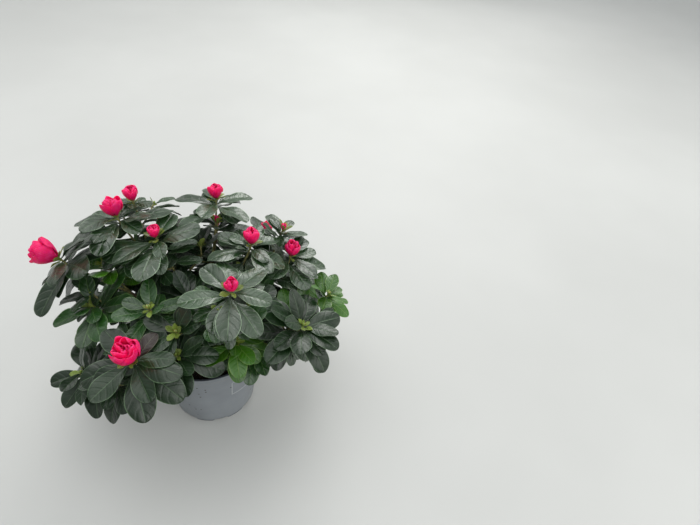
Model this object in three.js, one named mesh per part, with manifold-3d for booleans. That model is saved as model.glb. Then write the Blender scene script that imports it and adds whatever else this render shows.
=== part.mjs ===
// A potted azalea coming into flower: a tapered plastic pot filled with peat, a short woody stem,
// boughs that spring from it all round, and leafy masses whose shoots end in whorls round a bud.
// Millimetres, +Z up. The origin is the centre of the pot's underside, and -Y is the front.
import * as THREE from "three";
import { mergeVertices } from "three/addons/utils/BufferGeometryUtils.js";
import Module from "manifold-3d";

const wasm = await Module();
wasm.setup();

// Pot: outside sizes, then the wall, the lip at the rim and the notches that let the foot drain.
const potHeight = 109;
const potRimRadius = 68.5;
const potFootRadius = 50.5;
const potWall = 1.6;
const potLipWidth = 3.4;
const potLipHeight = 5;
const potFloor = 4.2;
const potSides = 48;
const notchCount = 8;
const notchWidth = 18;
const notchDepth = 7;
const notchHeight = 2.6;

// Peat: it fills the pot to a little under the rim.
const peatTop = 95;
const clearance = 0.3;

// Stem: a flat cut on the peat, a flare above it and a rounded head that the boughs spring from.
const stemRadius = 6;
const stemFlareRadius = 10.5;
const stemHeight = 31;
const stemLean = new THREE.Vector3(-2.2, 1.4, 0);
const stemSides = 12;
const crownHeart = new THREE.Vector3(0, 0, 115);
const plantSeed = 46;

// Boughs and twigs: each bough carries its mass from this share of the longest shoot's reach.
const boughShare = 0.5;
const boughRadius = 1.9;
const boughTipRadius = 1.7;
const boughSides = 6;
const boughSteps = 4;
const twigRadius = 1.5;
const twigTipRadius = 1.1;
const twigSteps = 2;
const stemletLength = 8;
const twigBends = [0, 14, -14, 28, -28, 42];

// Leaves: a whorl of them stands round the end of each shoot, turned by the golden angle. A leaf
// that has no room is tried lifted, lowered or swayed by these degrees, then at a smaller size.
const goldenAngle = 137.5;
const leafWidthShare = 0.49;
const petioleShare = 0.09;
const leafThickness = 0.6;
const leafWidest = 0.61;
const leafFullness = 0.66;
const leavesInWhorl = 9;
const skyward = new THREE.Vector3(0, -0.15, 1);
const lightPull = 1.2;
const bloomLift = 18;
const whorlDepth = 14;
const leafClear = 0.24;
const leafSections = [0.38, 0.68, 0.92];
const leafTries = [
  [0, 0, 1], [8, 0, 1], [-10, 0, 1], [0, 14, 1], [0, -14, 1], [16, 0, 1], [-20, 0, 1],
  [10, 18, 1], [10, -18, 1], [-14, 20, 1], [-14, -20, 1], [24, 0, 0.9], [-32, 0, 0.9],
  [4, 10, 0.75], [-12, -10, 0.75], [14, 24, 0.7], [-26, -24, 0.7],
];

// Space that a placed piece keeps for itself, as a grid of cells.
const cell = 1.5;
const gridHalfWidth = 210;
const gridHeight = 300;
const sampleStep = 0.75;
const potOwner = 1000;
const limbOwner = 1001;
const bloomOwner = 1002;
const leafOwner = { next: 2000 };

// The plan of the crown. Each bough has its height on the stem and its shoots, and each shoot has a
// bearing and a rise in degrees, a reach from the crown's heart, the rise that its tip faces, its
// leaf length and the size of its bloom, where under 8 is a leaf bud. One shoot also has the turn of
// its whorl and the rise of its bloom.
const plan = [
  { name: "front", foot: 18, shoots: [[-108, 34, 138, 64, 60, 29], [-90, 36, 108, 62, 50, 5]] },
  { name: "front_left", foot: 12, shoots: [[-143, 5, 138, 44, 48, 5], [-130, 2, 118, 40, 48, 5]] },
  {
    name: "heart_front",
    foot: 26,
    shoots: [[-122, 55, 112, 72, 42, 7], [-115, 77, 72, 80, 50, 5], [-112, 41, 80, 60, 44, 5]],
  },
  {
    name: "left",
    foot: 17,
    shoots: [[-177, 36, 179, 50, 60, 29, 210, 28], [-160, 32, 132, 50, 52, 5], [178, 41, 138, 60, 46, 6]],
  },
  { name: "left_top", foot: 20.5, shoots: [[157, 51, 168, 62, 56, 24], [143, 51, 174, 70, 34, 18]] },
  { name: "top_left", foot: 26, shoots: [[155, 66, 133, 72, 60, 15]] },
  { name: "top_back", foot: 26, shoots: [[91, 52, 160, 70, 54, 20], [90, 49, 132, 64, 42, 9]] },
  { name: "top_right", foot: 26, shoots: [[36, 60, 130, 68, 50, 21]] },
  { name: "right_upper", foot: 19, shoots: [[34, 35, 138, 66, 52, 21], [46, 41, 153, 58, 42, 10]] },
  { name: "right", foot: 19, shoots: [[-15, 27, 140, 58, 56, 6], [15, 17, 154, 50, 44, 5]] },
  { name: "top_front", foot: 26, shoots: [[-41, 61, 134, 72, 55, 16]] },
  { name: "front_right", foot: 19, shoots: [[-47, 36, 94, 62, 44, 6]] },
  { name: "low_right", foot: 12, shoots: [[-30, 22, 88, 56, 42, 5]] },
];

// Behind, where the crown closes, boughs stand at even bearings in two rows.
const rearRows = [
  { foot: 19, rise: 31, reach: 142, facing: 50, bearings: [65, 97, 128], bloom: 18 },
  { foot: 12, rise: 6, reach: 136, facing: 34, bearings: [42, 82, 122, 162], bloom: 5 },
];
const fillFrom = 120;
const fillReachShare = 0.78;
const fillTurn = 26;
const fillDrop = 16;

const rad = THREE.MathUtils.degToRad;
const mix = THREE.MathUtils.lerp;

// A small seeded generator: the same seed always gives the same plant.
function seeded(seed) {
  let state = seed >>> 0;
  return () => {
    state = (Math.imul(state, 1664525) + 1013904223) >>> 0;
    return state / 4294967296;
  };
}

// A unit vector at a bearing round +Z, counted from +X, and a rise above the horizon.
function aim(bearing, rise) {
  const b = rad(bearing);
  const r = rad(rise);
  return new THREE.Vector3(Math.cos(r) * Math.cos(b), Math.cos(r) * Math.sin(b), Math.sin(r));
}

function bezier(a, b, c, steps) {
  const points = [];
  for (let i = 0; i <= steps; i++) {
    const t = i / steps;
    const p = a.clone().multiplyScalar((1 - t) * (1 - t));
    p.addScaledVector(b, 2 * t * (1 - t));
    p.addScaledVector(c, t * t);
    points.push(p);
  }
  return points;
}

// Which piece holds each cell of the space round the plant: 0 is free.
class Space {
  constructor() {
    this.nx = Math.ceil((2 * gridHalfWidth) / cell);
    this.nz = Math.ceil(gridHeight / cell);
    this.owner = new Uint16Array(this.nx * this.nx * this.nz);
  }

  index(x, y, z) {
    return (z * this.nx + y) * this.nx + x;
  }

  cellOf(p) {
    const x = Math.floor((p.x + gridHalfWidth) / cell);
    const y = Math.floor((p.y + gridHalfWidth) / cell);
    return [x, y, Math.floor(p.z / cell)];
  }

  free(points, owner) {
    for (const p of points) {
      if (p.z < 3 * cell) return false;
      const held = this.owner[this.index(...this.cellOf(p))];
      if (held !== 0 && held !== owner) return false;
    }
    return true;
  }

  // A point also takes the cells round its own, so that neighbours stay a cell apart.
  take(points, owner) {
    for (const p of points) {
      const [x, y, z] = this.cellOf(p);
      for (let k = Math.max(0, z - 1); k <= z + 1; k++)
        for (let j = y - 1; j <= y + 1; j++)
          for (let i = x - 1; i <= x + 1; i++) {
            const at = this.index(i, j, k);
            if (this.owner[at] === 0) this.owner[at] = owner;
          }
    }
  }
}

// Two directions that stand square to an axis and to each other.
function squareTo(axis) {
  const side = Math.abs(axis.z) < 0.9 ? new THREE.Vector3(0, 0, 1) : new THREE.Vector3(1, 0, 0);
  const right = new THREE.Vector3().crossVectors(axis, side).normalize();
  return [right, new THREE.Vector3().crossVectors(right, axis)];
}

// Points on a limb's middle line and round its skin.
function limbSamples(path, radius) {
  const points = [];
  for (let i = 1; i < path.length; i++) {
    const span = path[i].distanceTo(path[i - 1]);
    const [right, ahead] = squareTo(path[i].clone().sub(path[i - 1]).normalize());
    const steps = Math.ceil(span / sampleStep);
    for (let k = 0; k <= steps; k++) {
      const p = path[i - 1].clone().lerp(path[i], k / steps);
      points.push(p);
      for (let m = 0; m < 6; m++) {
        const a = (Math.PI * m) / 3;
        const q = p.clone().addScaledVector(right, radius * Math.cos(a));
        points.push(q.addScaledVector(ahead, radius * Math.sin(a)));
      }
    }
  }
  return points;
}

// A leaf's half-width at a share of its length, as a share of its greatest half-width.
function leafOutline(s) {
  const power = Math.log(0.5) / Math.log(leafWidest);
  const along = Math.max(0, (s - petioleShare) / (1 - petioleShare));
  const half = Math.pow(Math.max(0, Math.sin(Math.PI * Math.pow(along, power))), leafFullness);
  return Math.max(half, s < 0.5 ? 0.06 : 0);
}

// A leaf sets off along a heading with its face turned to the light, and sinks along its length.
class Leaf {
  constructor(root, heading, light, sag, length, fold, roll) {
    Object.assign(this, { root, heading, sag, length, fold, roll });
    this.across = new THREE.Vector3().crossVectors(heading, light).normalize();
    this.face = new THREE.Vector3().crossVectors(this.across, heading);
  }

  // The middle line's point, the upper face's normal and the way across, at a share of the length.
  frame(s) {
    const turn = rad(this.sag);
    const point = this.root.clone().addScaledVector(this.heading, (this.length * Math.sin(turn * s)) / turn);
    point.addScaledVector(this.face, (this.length * (Math.cos(turn * s) - 1)) / turn);
    const normal = this.face.clone().multiplyScalar(Math.cos(turn * s));
    normal.addScaledVector(this.heading, Math.sin(turn * s));
    const tilt = rad(this.roll) * s;
    const across = this.across.clone().multiplyScalar(Math.cos(tilt));
    across.addScaledVector(normal, Math.sin(tilt));
    const face = normal.multiplyScalar(Math.cos(tilt)).addScaledVector(this.across, -Math.sin(tilt));
    return { point, face, across };
  }

  // A point of the blade, from -1 at one edge to 1 at the other.
  at(s, t) {
    const { point, face, across } = this.frame(s);
    const half = 0.5 * leafWidthShare * this.length * leafOutline(s);
    const fold = rad(this.fold);
    point.addScaledVector(across, t * half * Math.cos(fold));
    return point.addScaledVector(face, Math.abs(t) * half * Math.sin(fold));
  }

  // Its outline, once round from the root, for a fan of flat faces about its middle.
  rim() {
    const left = leafSections.map((s) => this.at(s, -1));
    const right = leafSections.map((s) => this.at(s, 1)).reverse();
    return [this.root.clone().addScaledVector(this.heading, -0.3), ...left, this.at(1, 0), ...right];
  }

  samples() {
    const points = [];
    const middle = this.frame(0.5).point;
    const rim = this.rim();
    for (const [k, a] of rim.entries()) {
      const b = rim[(k + 1) % rim.length];
      const rings = Math.ceil(Math.max(middle.distanceTo(a), middle.distanceTo(b)) / sampleStep);
      for (let i = 1; i <= rings; i++) {
        const steps = Math.max(1, Math.ceil((a.distanceTo(b) * i) / rings / sampleStep));
        for (let j = 0; j <= steps; j++) {
          const p = middle.clone().lerp(a.clone().lerp(b, j / steps), i / rings);
          if (p.distanceTo(this.root) > leafClear * this.length) points.push(p);
        }
      }
    }
    return points;
  }
}

// Points through a bloom, ring by ring.
function bloomSamples(tip, axis, bloom) {
  const points = [];
  const [right, ahead] = squareTo(axis);
  for (let up = 2; up < bloom; up += sampleStep)
    for (let r = 0; r < 0.47 * bloom; r += sampleStep)
      for (let a = 0; a < 2 * Math.PI; a += sampleStep / Math.max(r, 1)) {
        const p = tip.clone().addScaledVector(axis, up);
        points.push(p.addScaledVector(right, r * Math.cos(a)).addScaledVector(ahead, r * Math.sin(a)));
      }
  return points;
}

// A shoot's path: it curves away from its foot and runs straight through its whorl. The first bend
// with free room is used, and a shoot with none is left out.
function layShoot(foot, along, shoot, owner, space) {
  const [bearing, rise, reach, facing, leafLength, bloom, turn, bloomRise] = shoot;
  const tip = crownHeart.clone().addScaledVector(aim(bearing, rise), reach);
  const axis = aim(bearing, facing);
  const low = tip.clone().addScaledVector(axis, -whorlDepth);
  const span = low.distanceTo(foot);
  const elbow = foot.clone().addScaledVector(along, span * 0.5);
  elbow.lerp(low.clone().addScaledVector(axis, -span * 0.5), 0.5);
  const bloomAxis = aim(bearing, bloomRise ?? Math.min(facing + bloomLift, 86));
  const petals = bloomSamples(tip, bloomAxis, bloom);
  for (const sway of twigBends) {
    const bent = elbow.clone().addScaledVector(aim(bearing + 90, 0), sway);
    const path = bezier(foot, bent, low, twigSteps);
    path.push(tip);
    const samples = limbSamples(path, twigRadius);
    if (!space.free(samples, owner) || !space.free(petals, owner)) continue;
    space.take(samples, owner);
    space.take(petals, bloomOwner);
    return { path, tip, axis, bloomAxis, leafLength, bloom, turn, owner, leaves: [] };
  }
  return null;
}

// The whorl: the lowest leaves are the longest and lie flat, the inner ones are short and stand up.
function growLeaves(shoot, space, random) {
  const start = shoot.turn ?? random() * 360;
  const [right, ahead] = squareTo(shoot.axis);
  const light = shoot.axis.clone().addScaledVector(skyward, lightPull).normalize();
  for (let i = 0; i < leavesInWhorl; i++) {
    const t = i / (leavesInWhorl - 1);
    const root = shoot.tip.clone().addScaledVector(shoot.axis, -whorlDepth * (1 - t));
    const length = shoot.leafLength * mix(1, 0.62, t * t) * mix(0.9, 1.06, random());
    const opening = mix(86, shoot.bloom > 12 ? 66 : 44, t) + mix(-6, 6, random());
    const sag = mix(28, 12, t) + mix(-6, 10, random());
    const fold = mix(-6, 14, random());
    const roll = mix(-24, 24, random());
    const spin = start + i * goldenAngle + mix(-12, 12, random());
    for (const [lift, sway, size] of leafTries) {
      const open = rad(opening + lift);
      const turn = rad(spin + sway);
      const heading = shoot.axis.clone().multiplyScalar(Math.cos(open));
      heading.addScaledVector(right, Math.sin(open) * Math.cos(turn));
      heading.addScaledVector(ahead, Math.sin(open) * Math.sin(turn));
      const leaf = new Leaf(root, heading, light, sag, length * size, fold, roll);
      const samples = leaf.samples();
      if (!space.free(samples, shoot.owner)) continue;
      space.take(samples, leafOwner.next);
      leafOwner.next += 1;
      shoot.leaves.push(leaf);
      break;
    }
  }
}

// The plan, closed behind. Every bough also gets a short leafy shoot that fills in under it.
function wholePlan(random) {
  const boughs = plan.map((bough) => ({ ...bough, shoots: [...bough.shoots] }));
  rearRows.forEach((row, level) => {
    for (const [i, bearing] of row.bearings.entries()) {
      const rise = row.rise + mix(-5, 5, random());
      const bloom = random() < 0.6 ? row.bloom : 5;
      const main = [bearing, rise, row.reach + mix(-6, 8, random()), row.facing, mix(48, 56, random()), bloom];
      boughs.push({ name: `back_${level ? "low" : "high"}_${i + 1}`, foot: row.foot, shoots: [main] });
    }
  });
  for (const bough of boughs) {
    const [bearing, rise, reach, facing] = bough.shoots[0];
    if (reach < fillFrom || bearing < 0 && rise < 45) continue;
    const side = random() < 0.5 ? -1 : 1;
    const turn = (side * fillTurn) / Math.cos(rad(Math.min(rise, 60)));
    const drop = fillDrop * (0.5 + random());
    bough.shoots.push([bearing + turn, rise - drop, reach * fillReachShare, facing - drop, 46, 5]);
  }
  return boughs;
}

// Faces between rings of points, with a fan over each end.
function ringFaces(indices, rings, sides) {
  for (let i = 1; i < rings; i++)
    for (let k = 0; k < sides; k++) {
      const a = (i - 1) * sides + k;
      const b = (i - 1) * sides + ((k + 1) % sides);
      indices.push(a, b, b + sides, a, b + sides, a + sides);
    }
  const last = (rings - 1) * sides;
  for (let k = 1; k < sides - 1; k++) {
    indices.push(0, k + 1, k);
    indices.push(last, last + k, last + k + 1);
  }
}

// A tube of rings along a path, closed at both ends. The rings keep one turn along the path.
function tube(path, radii, sides) {
  const positions = [];
  const indices = [];
  let across = null;
  path.forEach((p, i) => {
    const before = path[Math.max(0, i - 1)];
    const after = path[Math.min(path.length - 1, i + 1)];
    const along = after.clone().sub(before).normalize();
    if (!across) [across] = squareTo(along);
    across.addScaledVector(along, -across.dot(along)).normalize();
    const other = new THREE.Vector3().crossVectors(along, across);
    for (let k = 0; k < sides; k++) {
      const a = (2 * Math.PI * k) / sides;
      const q = p.clone().addScaledVector(across, radii[i] * Math.cos(a));
      q.addScaledVector(other, radii[i] * Math.sin(a));
      positions.push(q.x, q.y, q.z);
    }
  });
  ringFaces(indices, path.length, sides);
  return indexed(positions, indices);
}

function indexed(positions, indices) {
  const geometry = new THREE.BufferGeometry();
  geometry.setAttribute("position", new THREE.Float32BufferAttribute(positions, 3));
  geometry.setIndex(indices);
  return geometry;
}

function tapered(path, from, to) {
  return path.map((_, i) => mix(from, to, i / (path.length - 1)));
}

// A closed geometry as a solid that can be joined and cut.
function solid(geometry) {
  const g = geometry.clone();
  g.deleteAttribute("normal");
  g.deleteAttribute("uv");
  const merged = mergeVertices(g, 1e-4);
  const triVerts = new Uint32Array(merged.index.array);
  const made = new wasm.Manifold(
    new wasm.Mesh({ numProp: 3, vertProperties: merged.attributes.position.array, triVerts }),
  );
  return made.volume() < 0 ? flipped(merged) : made;
}

function flipped(geometry) {
  const index = geometry.index.array.slice();
  for (let i = 0; i < index.length; i += 3) [index[i + 1], index[i + 2]] = [index[i + 2], index[i + 1]];
  return new wasm.Manifold(
    new wasm.Mesh({
      numProp: 3,
      vertProperties: geometry.attributes.position.array,
      triVerts: new Uint32Array(index),
    }),
  );
}

function geometryOf(made) {
  const mesh = made.getMesh();
  return indexed(Array.from(mesh.vertProperties), Array.from(mesh.triVerts));
}

// A leaf of sixteen faces: a thin lens over eight points of its outline, its root sunk in the twig.
function leafSolid(leaf) {
  const middle = leaf.frame(0.5);
  const rim = leaf.rim();
  const above = middle.point.clone().addScaledVector(middle.face, leafThickness / 2);
  const below = middle.point.clone().addScaledVector(middle.face, -leafThickness / 2);
  const positions = [...rim, above, below].flatMap((p) => [p.x, p.y, p.z]);
  const count = rim.length;
  const indices = [];
  for (let k = 0; k < count; k++) {
    const next = (k + 1) % count;
    indices.push(k, next, count, next, k, count + 1);
  }
  return solid(indexed(positions, indices));
}

// A bloom: a four-sided spindle while it is a bud, and a cup with lobes once its petals part.
function bloomSolid(tip, axis, size) {
  const parted = size > 12;
  const open = Math.max(0, (size - 12) / 18);
  const sides = parted ? 8 : 4;
  const mouth = mix(0.24, 0.36, open);
  const profile = parted
    ? [[-0.08, 0.05], [0.3, 0.36], [0.7, 0.46], [1, mouth], [0.86, 0.06]]
    : [[-0.1, 0.05], [0.4, 0.27], [1, 0.03]];
  const [right, ahead] = squareTo(axis);
  const positions = [];
  const indices = [];
  for (const [rise, wide] of profile)
    for (let k = 0; k < sides; k++) {
      const a = (2 * Math.PI * k) / sides;
      const r = size * wide * (1 + 0.1 * open * (k % 2 ? -1 : 1));
      const p = tip.clone().addScaledVector(axis, size * rise);
      p.addScaledVector(right, r * Math.cos(a)).addScaledVector(ahead, -r * Math.sin(a));
      positions.push(p.x, p.y, p.z);
    }
  ringFaces(indices, profile.length, sides);
  return solid(indexed(positions, indices));
}

// A join is sound when, with its points welded, every edge belongs to two faces.
function sound(made) {
  const skin = mergeVertices(geometryOf(made), 1e-3).index.array;
  const uses = new Map();
  for (let i = 0; i < skin.length; i += 3) {
    const corners = [skin[i], skin[i + 1], skin[i + 2]];
    if (new Set(corners).size < 3) continue;
    for (let k = 0; k < 3; k++) {
      const ends = [corners[k], corners[(k + 1) % 3]];
      const edge = `${Math.min(...ends)} ${Math.max(...ends)}`;
      uses.set(edge, (uses.get(edge) ?? 0) + 1);
    }
  }
  return [...uses.values()].every((count) => count === 2);
}

function biggestPiece(made) {
  const pieces = made.decompose();
  return pieces.reduce((a, b) => (a.volume() > b.volume() ? a : b));
}

function potRadiusAt(z) {
  return mix(potFootRadius, potRimRadius, z / potHeight);
}

// The pot: a lathed wall with a thicker lip and a flat floor, its foot notched all round to drain.
function potGeometry() {
  const lipFoot = potHeight - potLipHeight;
  const profile = [
    [0, 0],
    [potFootRadius, 0],
    [potRadiusAt(lipFoot), lipFoot],
    [potRimRadius, potHeight],
    [potRimRadius - potLipWidth, potHeight],
    [potRimRadius - potLipWidth, lipFoot],
    [potRadiusAt(lipFoot - 2) - potWall, lipFoot - 2],
    [potRadiusAt(potFloor) - potWall, potFloor],
    [0, potFloor],
  ];
  const lathe = new THREE.LatheGeometry(profile.map(([r, z]) => new THREE.Vector2(r, z)), potSides);
  lathe.rotateX(Math.PI / 2);
  let pot = solid(lathe);
  for (let i = 0; i < notchCount; i++) {
    const a = (2 * Math.PI * (i + 0.5)) / notchCount;
    const notch = new THREE.BoxGeometry(2 * notchDepth, notchWidth, 2 * notchHeight);
    notch.rotateZ(a);
    notch.translate(potFootRadius * Math.cos(a), potFootRadius * Math.sin(a), 0);
    pot = pot.subtract(solid(notch));
  }
  return geometryOf(pot);
}

// The peat: a plug that stands on the pot's floor, clear of its wall, with a gently raised top.
function peatGeometry() {
  const foot = potFloor + clearance;
  const inset = potWall + clearance;
  const profile = [
    [0, foot],
    [potRadiusAt(foot) - inset - clearance, foot],
    [potRadiusAt(peatTop - 3) - inset - clearance, peatTop - 3],
    [stemFlareRadius + 16, peatTop],
    [0, peatTop],
  ];
  const lathe = new THREE.LatheGeometry(profile.map(([r, z]) => new THREE.Vector2(r, z)), 28);
  lathe.rotateX(Math.PI / 2);
  return geometryOf(solid(lathe));
}

// The stem: flared where it meets the peat, leaning a little, and domed at its head.
function stemPoint(height) {
  const p = stemLean.clone().multiplyScalar(height / stemHeight);
  p.z = peatTop + clearance + height;
  return p;
}

function stemPath() {
  return [0, 0.1, 0.25, 0.6, 0.84, 0.95, 1].map((share) => stemPoint(share * stemHeight));
}

function stemSolid() {
  const radii = [stemFlareRadius, 8.4, 6.6, stemRadius, stemRadius - 0.2, 4.2, 2];
  const upright = stemPath().map((p) => new THREE.Vector3(0, 0, p.z));
  const lean = new THREE.Matrix4().makeShear(0, 0, 0, 0, stemLean.x / stemHeight, stemLean.y / stemHeight);
  const foot = peatTop + clearance;
  const stem = tube(upright, radii, stemSides).translate(0, 0, -foot);
  return solid(stem.applyMatrix4(lean).translate(0, 0, foot));
}

// Where a bough leaves the stem: far enough out for its flat end to clear the bark. A bough high
// on the stem springs from the domed head, and steeper.
function boughStart(foot, bearing, rise) {
  const high = foot / stemHeight;
  const lift = Math.min(rise, 52) * mix(0.2, 1.1, high);
  const skin = stemRadius + clearance + 0.15;
  const reach = high > 0.8 ? skin : (skin + boughRadius * Math.sin(rad(lift))) / Math.cos(rad(lift));
  const out = aim(bearing, lift);
  return { start: stemPoint(foot).addScaledVector(out, reach), out };
}

// The pot and the peat keep their own space, so that no leaf dips into them.
function potSamples() {
  const points = [];
  for (let k = 0; k < 720; k++) {
    const a = (2 * Math.PI * k) / 720;
    const ring = (r, z) => points.push(new THREE.Vector3(r * Math.cos(a), r * Math.sin(a), z));
    for (let z = 0; z < potHeight; z += sampleStep) ring(potRadiusAt(z), z);
    for (let r = 0; r < potLipWidth; r += sampleStep) ring(potRimRadius - r, potHeight - 0.5);
    for (let r = 0; r < potRadiusAt(peatTop); r += sampleStep) ring(r, peatTop - 1);
  }
  return points;
}

// Boughs take their space first, then every twig and bloom, then the leaves of one shoot of each
// bough in turn.
function growCrown() {
  const random = seeded(plantSeed);
  const space = new Space();
  space.take(potSamples(), potOwner);
  space.take(limbSamples(stemPath(), stemRadius), limbOwner);
  const boughs = wholePlan(random);
  for (const [i, bough] of boughs.entries()) {
    const [bearing, rise, reach] = bough.shoots[0];
    const { start, out } = boughStart(bough.foot, bearing, rise);
    const end = crownHeart.clone().addScaledVector(aim(bearing, rise), reach * boughShare);
    const elbow = start.clone().addScaledVector(out, start.distanceTo(end) * 0.5);
    bough.out = out;
    bough.path = bezier(start, elbow, end, boughSteps);
    bough.along = end.clone().sub(bough.path[boughSteps - 1]).normalize();
    const foot = end.clone().addScaledVector(bough.along, clearance);
    bough.stemlet = [foot, foot.clone().addScaledVector(bough.along, stemletLength)];
    space.take(limbSamples(bough.path, boughRadius), limbOwner);
    space.take(limbSamples(bough.stemlet, boughTipRadius), i + 1);
  }
  const shoots = [];
  const most = Math.max(...boughs.map((bough) => bough.shoots.length));
  for (let k = 0; k < most; k++)
    for (const [i, bough] of boughs.entries()) {
      if (k >= bough.shoots.length) continue;
      const owner = i + 1;
      const shoot = layShoot(bough.stemlet[1], bough.along, bough.shoots[k], owner, space);
      if (!shoot) continue;
      shoots.push(shoot);
      bough.grown = [...(bough.grown ?? []), shoot];
    }
  for (const shoot of shoots) growLeaves(shoot, space, random);
  return boughs.filter((bough) => bough.grown);
}

// A bough as a solid, its flat end slid along its own line until it is seated on the stem.
function boughSolid(bough, stem) {
  const path = bough.path.map((p) => p.clone());
  let limb = null;
  for (let i = 0; i < 5; i++) {
    limb = solid(tube(path, tapered(path, boughRadius, boughTipRadius), boughSides));
    path[0].addScaledVector(bough.out, clearance - limb.minGap(stem, 10));
  }
  return limb;
}

// One mass: its short stem, twigs, leaves and blooms joined into a single solid.
function massGeometry(bough) {
  let mass = solid(tube(bough.stemlet, [boughTipRadius, twigRadius + 0.2], 4));
  for (const shoot of bough.grown) {
    const sunk = shoot.path[0].clone().addScaledVector(bough.along, -3);
    const path = [sunk, ...shoot.path.slice(1)];
    mass = mass.add(solid(tube(path, tapered(path, twigRadius, twigTipRadius), 3)));
    mass = mass.add(bloomSolid(shoot.tip, shoot.bloomAxis, shoot.bloom));
    for (const leaf of shoot.leaves) {
      const joined = mass.add(leafSolid(leaf));
      if (sound(joined)) mass = joined;
    }
  }
  const whole = biggestPiece(mass);
  const eased = whole.simplify(0.04);
  return geometryOf(sound(eased) ? eased : whole);
}

const materials = {
  pot: new THREE.MeshStandardMaterial({ color: 0x7d8287, roughness: 0.45, metalness: 0 }),
  peat: new THREE.MeshStandardMaterial({ color: 0x2a1f17, roughness: 0.95, metalness: 0 }),
  bark: new THREE.MeshStandardMaterial({ color: 0x6b5a45, roughness: 0.85, metalness: 0 }),
  foliage: new THREE.MeshStandardMaterial({ color: 0x2f4a35, roughness: 0.4, metalness: 0 }),
};

const azalea = new THREE.Group();

function place(name, geometry, material) {
  const mesh = new THREE.Mesh(geometry, material);
  mesh.name = name;
  geometry.computeVertexNormals();
  azalea.add(mesh);
}

place("pot", potGeometry(), materials.pot);
place("peat", peatGeometry(), materials.peat);
const stem = stemSolid();
place("main_stem", geometryOf(stem), materials.bark);
for (const bough of growCrown()) {
  place(`bough_${bough.name}`, geometryOf(boughSolid(bough, stem)), materials.bark);
  place(`foliage_${bough.name}`, massGeometry(bough), materials.foliage);
}

export default azalea;
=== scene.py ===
import math

import bmesh
import bpy
import numpy as np
from mathutils import Matrix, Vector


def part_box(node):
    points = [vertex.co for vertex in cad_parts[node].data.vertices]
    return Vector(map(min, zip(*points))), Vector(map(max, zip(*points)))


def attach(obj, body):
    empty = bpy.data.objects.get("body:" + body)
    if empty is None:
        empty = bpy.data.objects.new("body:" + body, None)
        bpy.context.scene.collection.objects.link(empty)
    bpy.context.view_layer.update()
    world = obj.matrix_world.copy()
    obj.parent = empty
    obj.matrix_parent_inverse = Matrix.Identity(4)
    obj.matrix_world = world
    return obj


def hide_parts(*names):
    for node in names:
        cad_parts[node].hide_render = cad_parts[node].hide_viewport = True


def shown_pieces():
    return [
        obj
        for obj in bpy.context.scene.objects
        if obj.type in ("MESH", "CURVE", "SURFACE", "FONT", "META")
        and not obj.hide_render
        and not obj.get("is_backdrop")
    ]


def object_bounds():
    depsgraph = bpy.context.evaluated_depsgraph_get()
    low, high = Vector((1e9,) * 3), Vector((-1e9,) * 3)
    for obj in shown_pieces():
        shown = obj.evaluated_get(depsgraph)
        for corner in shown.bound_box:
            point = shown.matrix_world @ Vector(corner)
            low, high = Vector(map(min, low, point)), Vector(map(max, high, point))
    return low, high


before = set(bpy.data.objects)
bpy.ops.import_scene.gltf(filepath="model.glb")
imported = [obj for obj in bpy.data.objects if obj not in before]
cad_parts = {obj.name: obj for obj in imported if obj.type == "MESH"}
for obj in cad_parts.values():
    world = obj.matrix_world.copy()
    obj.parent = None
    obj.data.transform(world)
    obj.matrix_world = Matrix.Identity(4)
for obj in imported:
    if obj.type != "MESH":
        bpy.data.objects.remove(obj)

# A potted azalea coming into flower. The plant grows here by the same rule as its solids, from the
# same seed, and then goes on to finer shoots. Lengths are in millimetres until a mesh is made.
mm = 0.001
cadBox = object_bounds()
massNodes = sorted(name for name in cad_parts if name.startswith("foliage_"))
boughNodes = sorted(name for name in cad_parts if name.startswith("bough_"))
print("frame loaded:", len(massNodes), "masses on", len(boughNodes), "boughs")

pot = {
    "rimRadius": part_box("pot")[1].y / mm,
    "height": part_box("pot")[1].z / mm,
    "footRadius": 50.5,
    "wall": 1.6,
    "lipWidth": 3.4,
    "lipHeight": 5,
    "floor": 4.2,
    "notches": 8,
    "notchWidth": 18,
    "notchDepth": 7,
    "notchHeight": 2.6,
    "sides": 240,
}
# the drawn peat lies a little under the solid's top and dips to its edge; crumbs are for a square mm
peat = {"top": 95, "under": 2.2, "dip": 1.4, "rings": 26, "sides": 90}
peat.update(crumbs=0.15, crumbSize=1.5, seed=3)
clearance = 0.3

stem = {"radius": 6, "height": 31, "lean": np.array([-2.2, 1.4, 0.0])}
stem["shares"] = [0, 0.1, 0.25, 0.6, 0.84, 0.95, 1]
stem["radii"] = [10.5, 8.4, 6.6, 6, 5.8, 4.2, 2]

limb = {
    "boughShare": 0.5,
    "boughRadius": 1.9,
    "boughTip": 1.7,
    "boughSteps": 4,
    "twigRadius": 1.5,
    "twigTip": 1.1,
    "twigSteps": 2,
    "stemlet": 8,
    "bends": [0, 14, -14, 28, -28, 42],
    # a bough leaves the stem the steeper, the higher its foot is
    "steepest": 52,
    "liftShares": (0.2, 1.1),
    "seat": 0.15,
    "topShare": 0.8,
}

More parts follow.
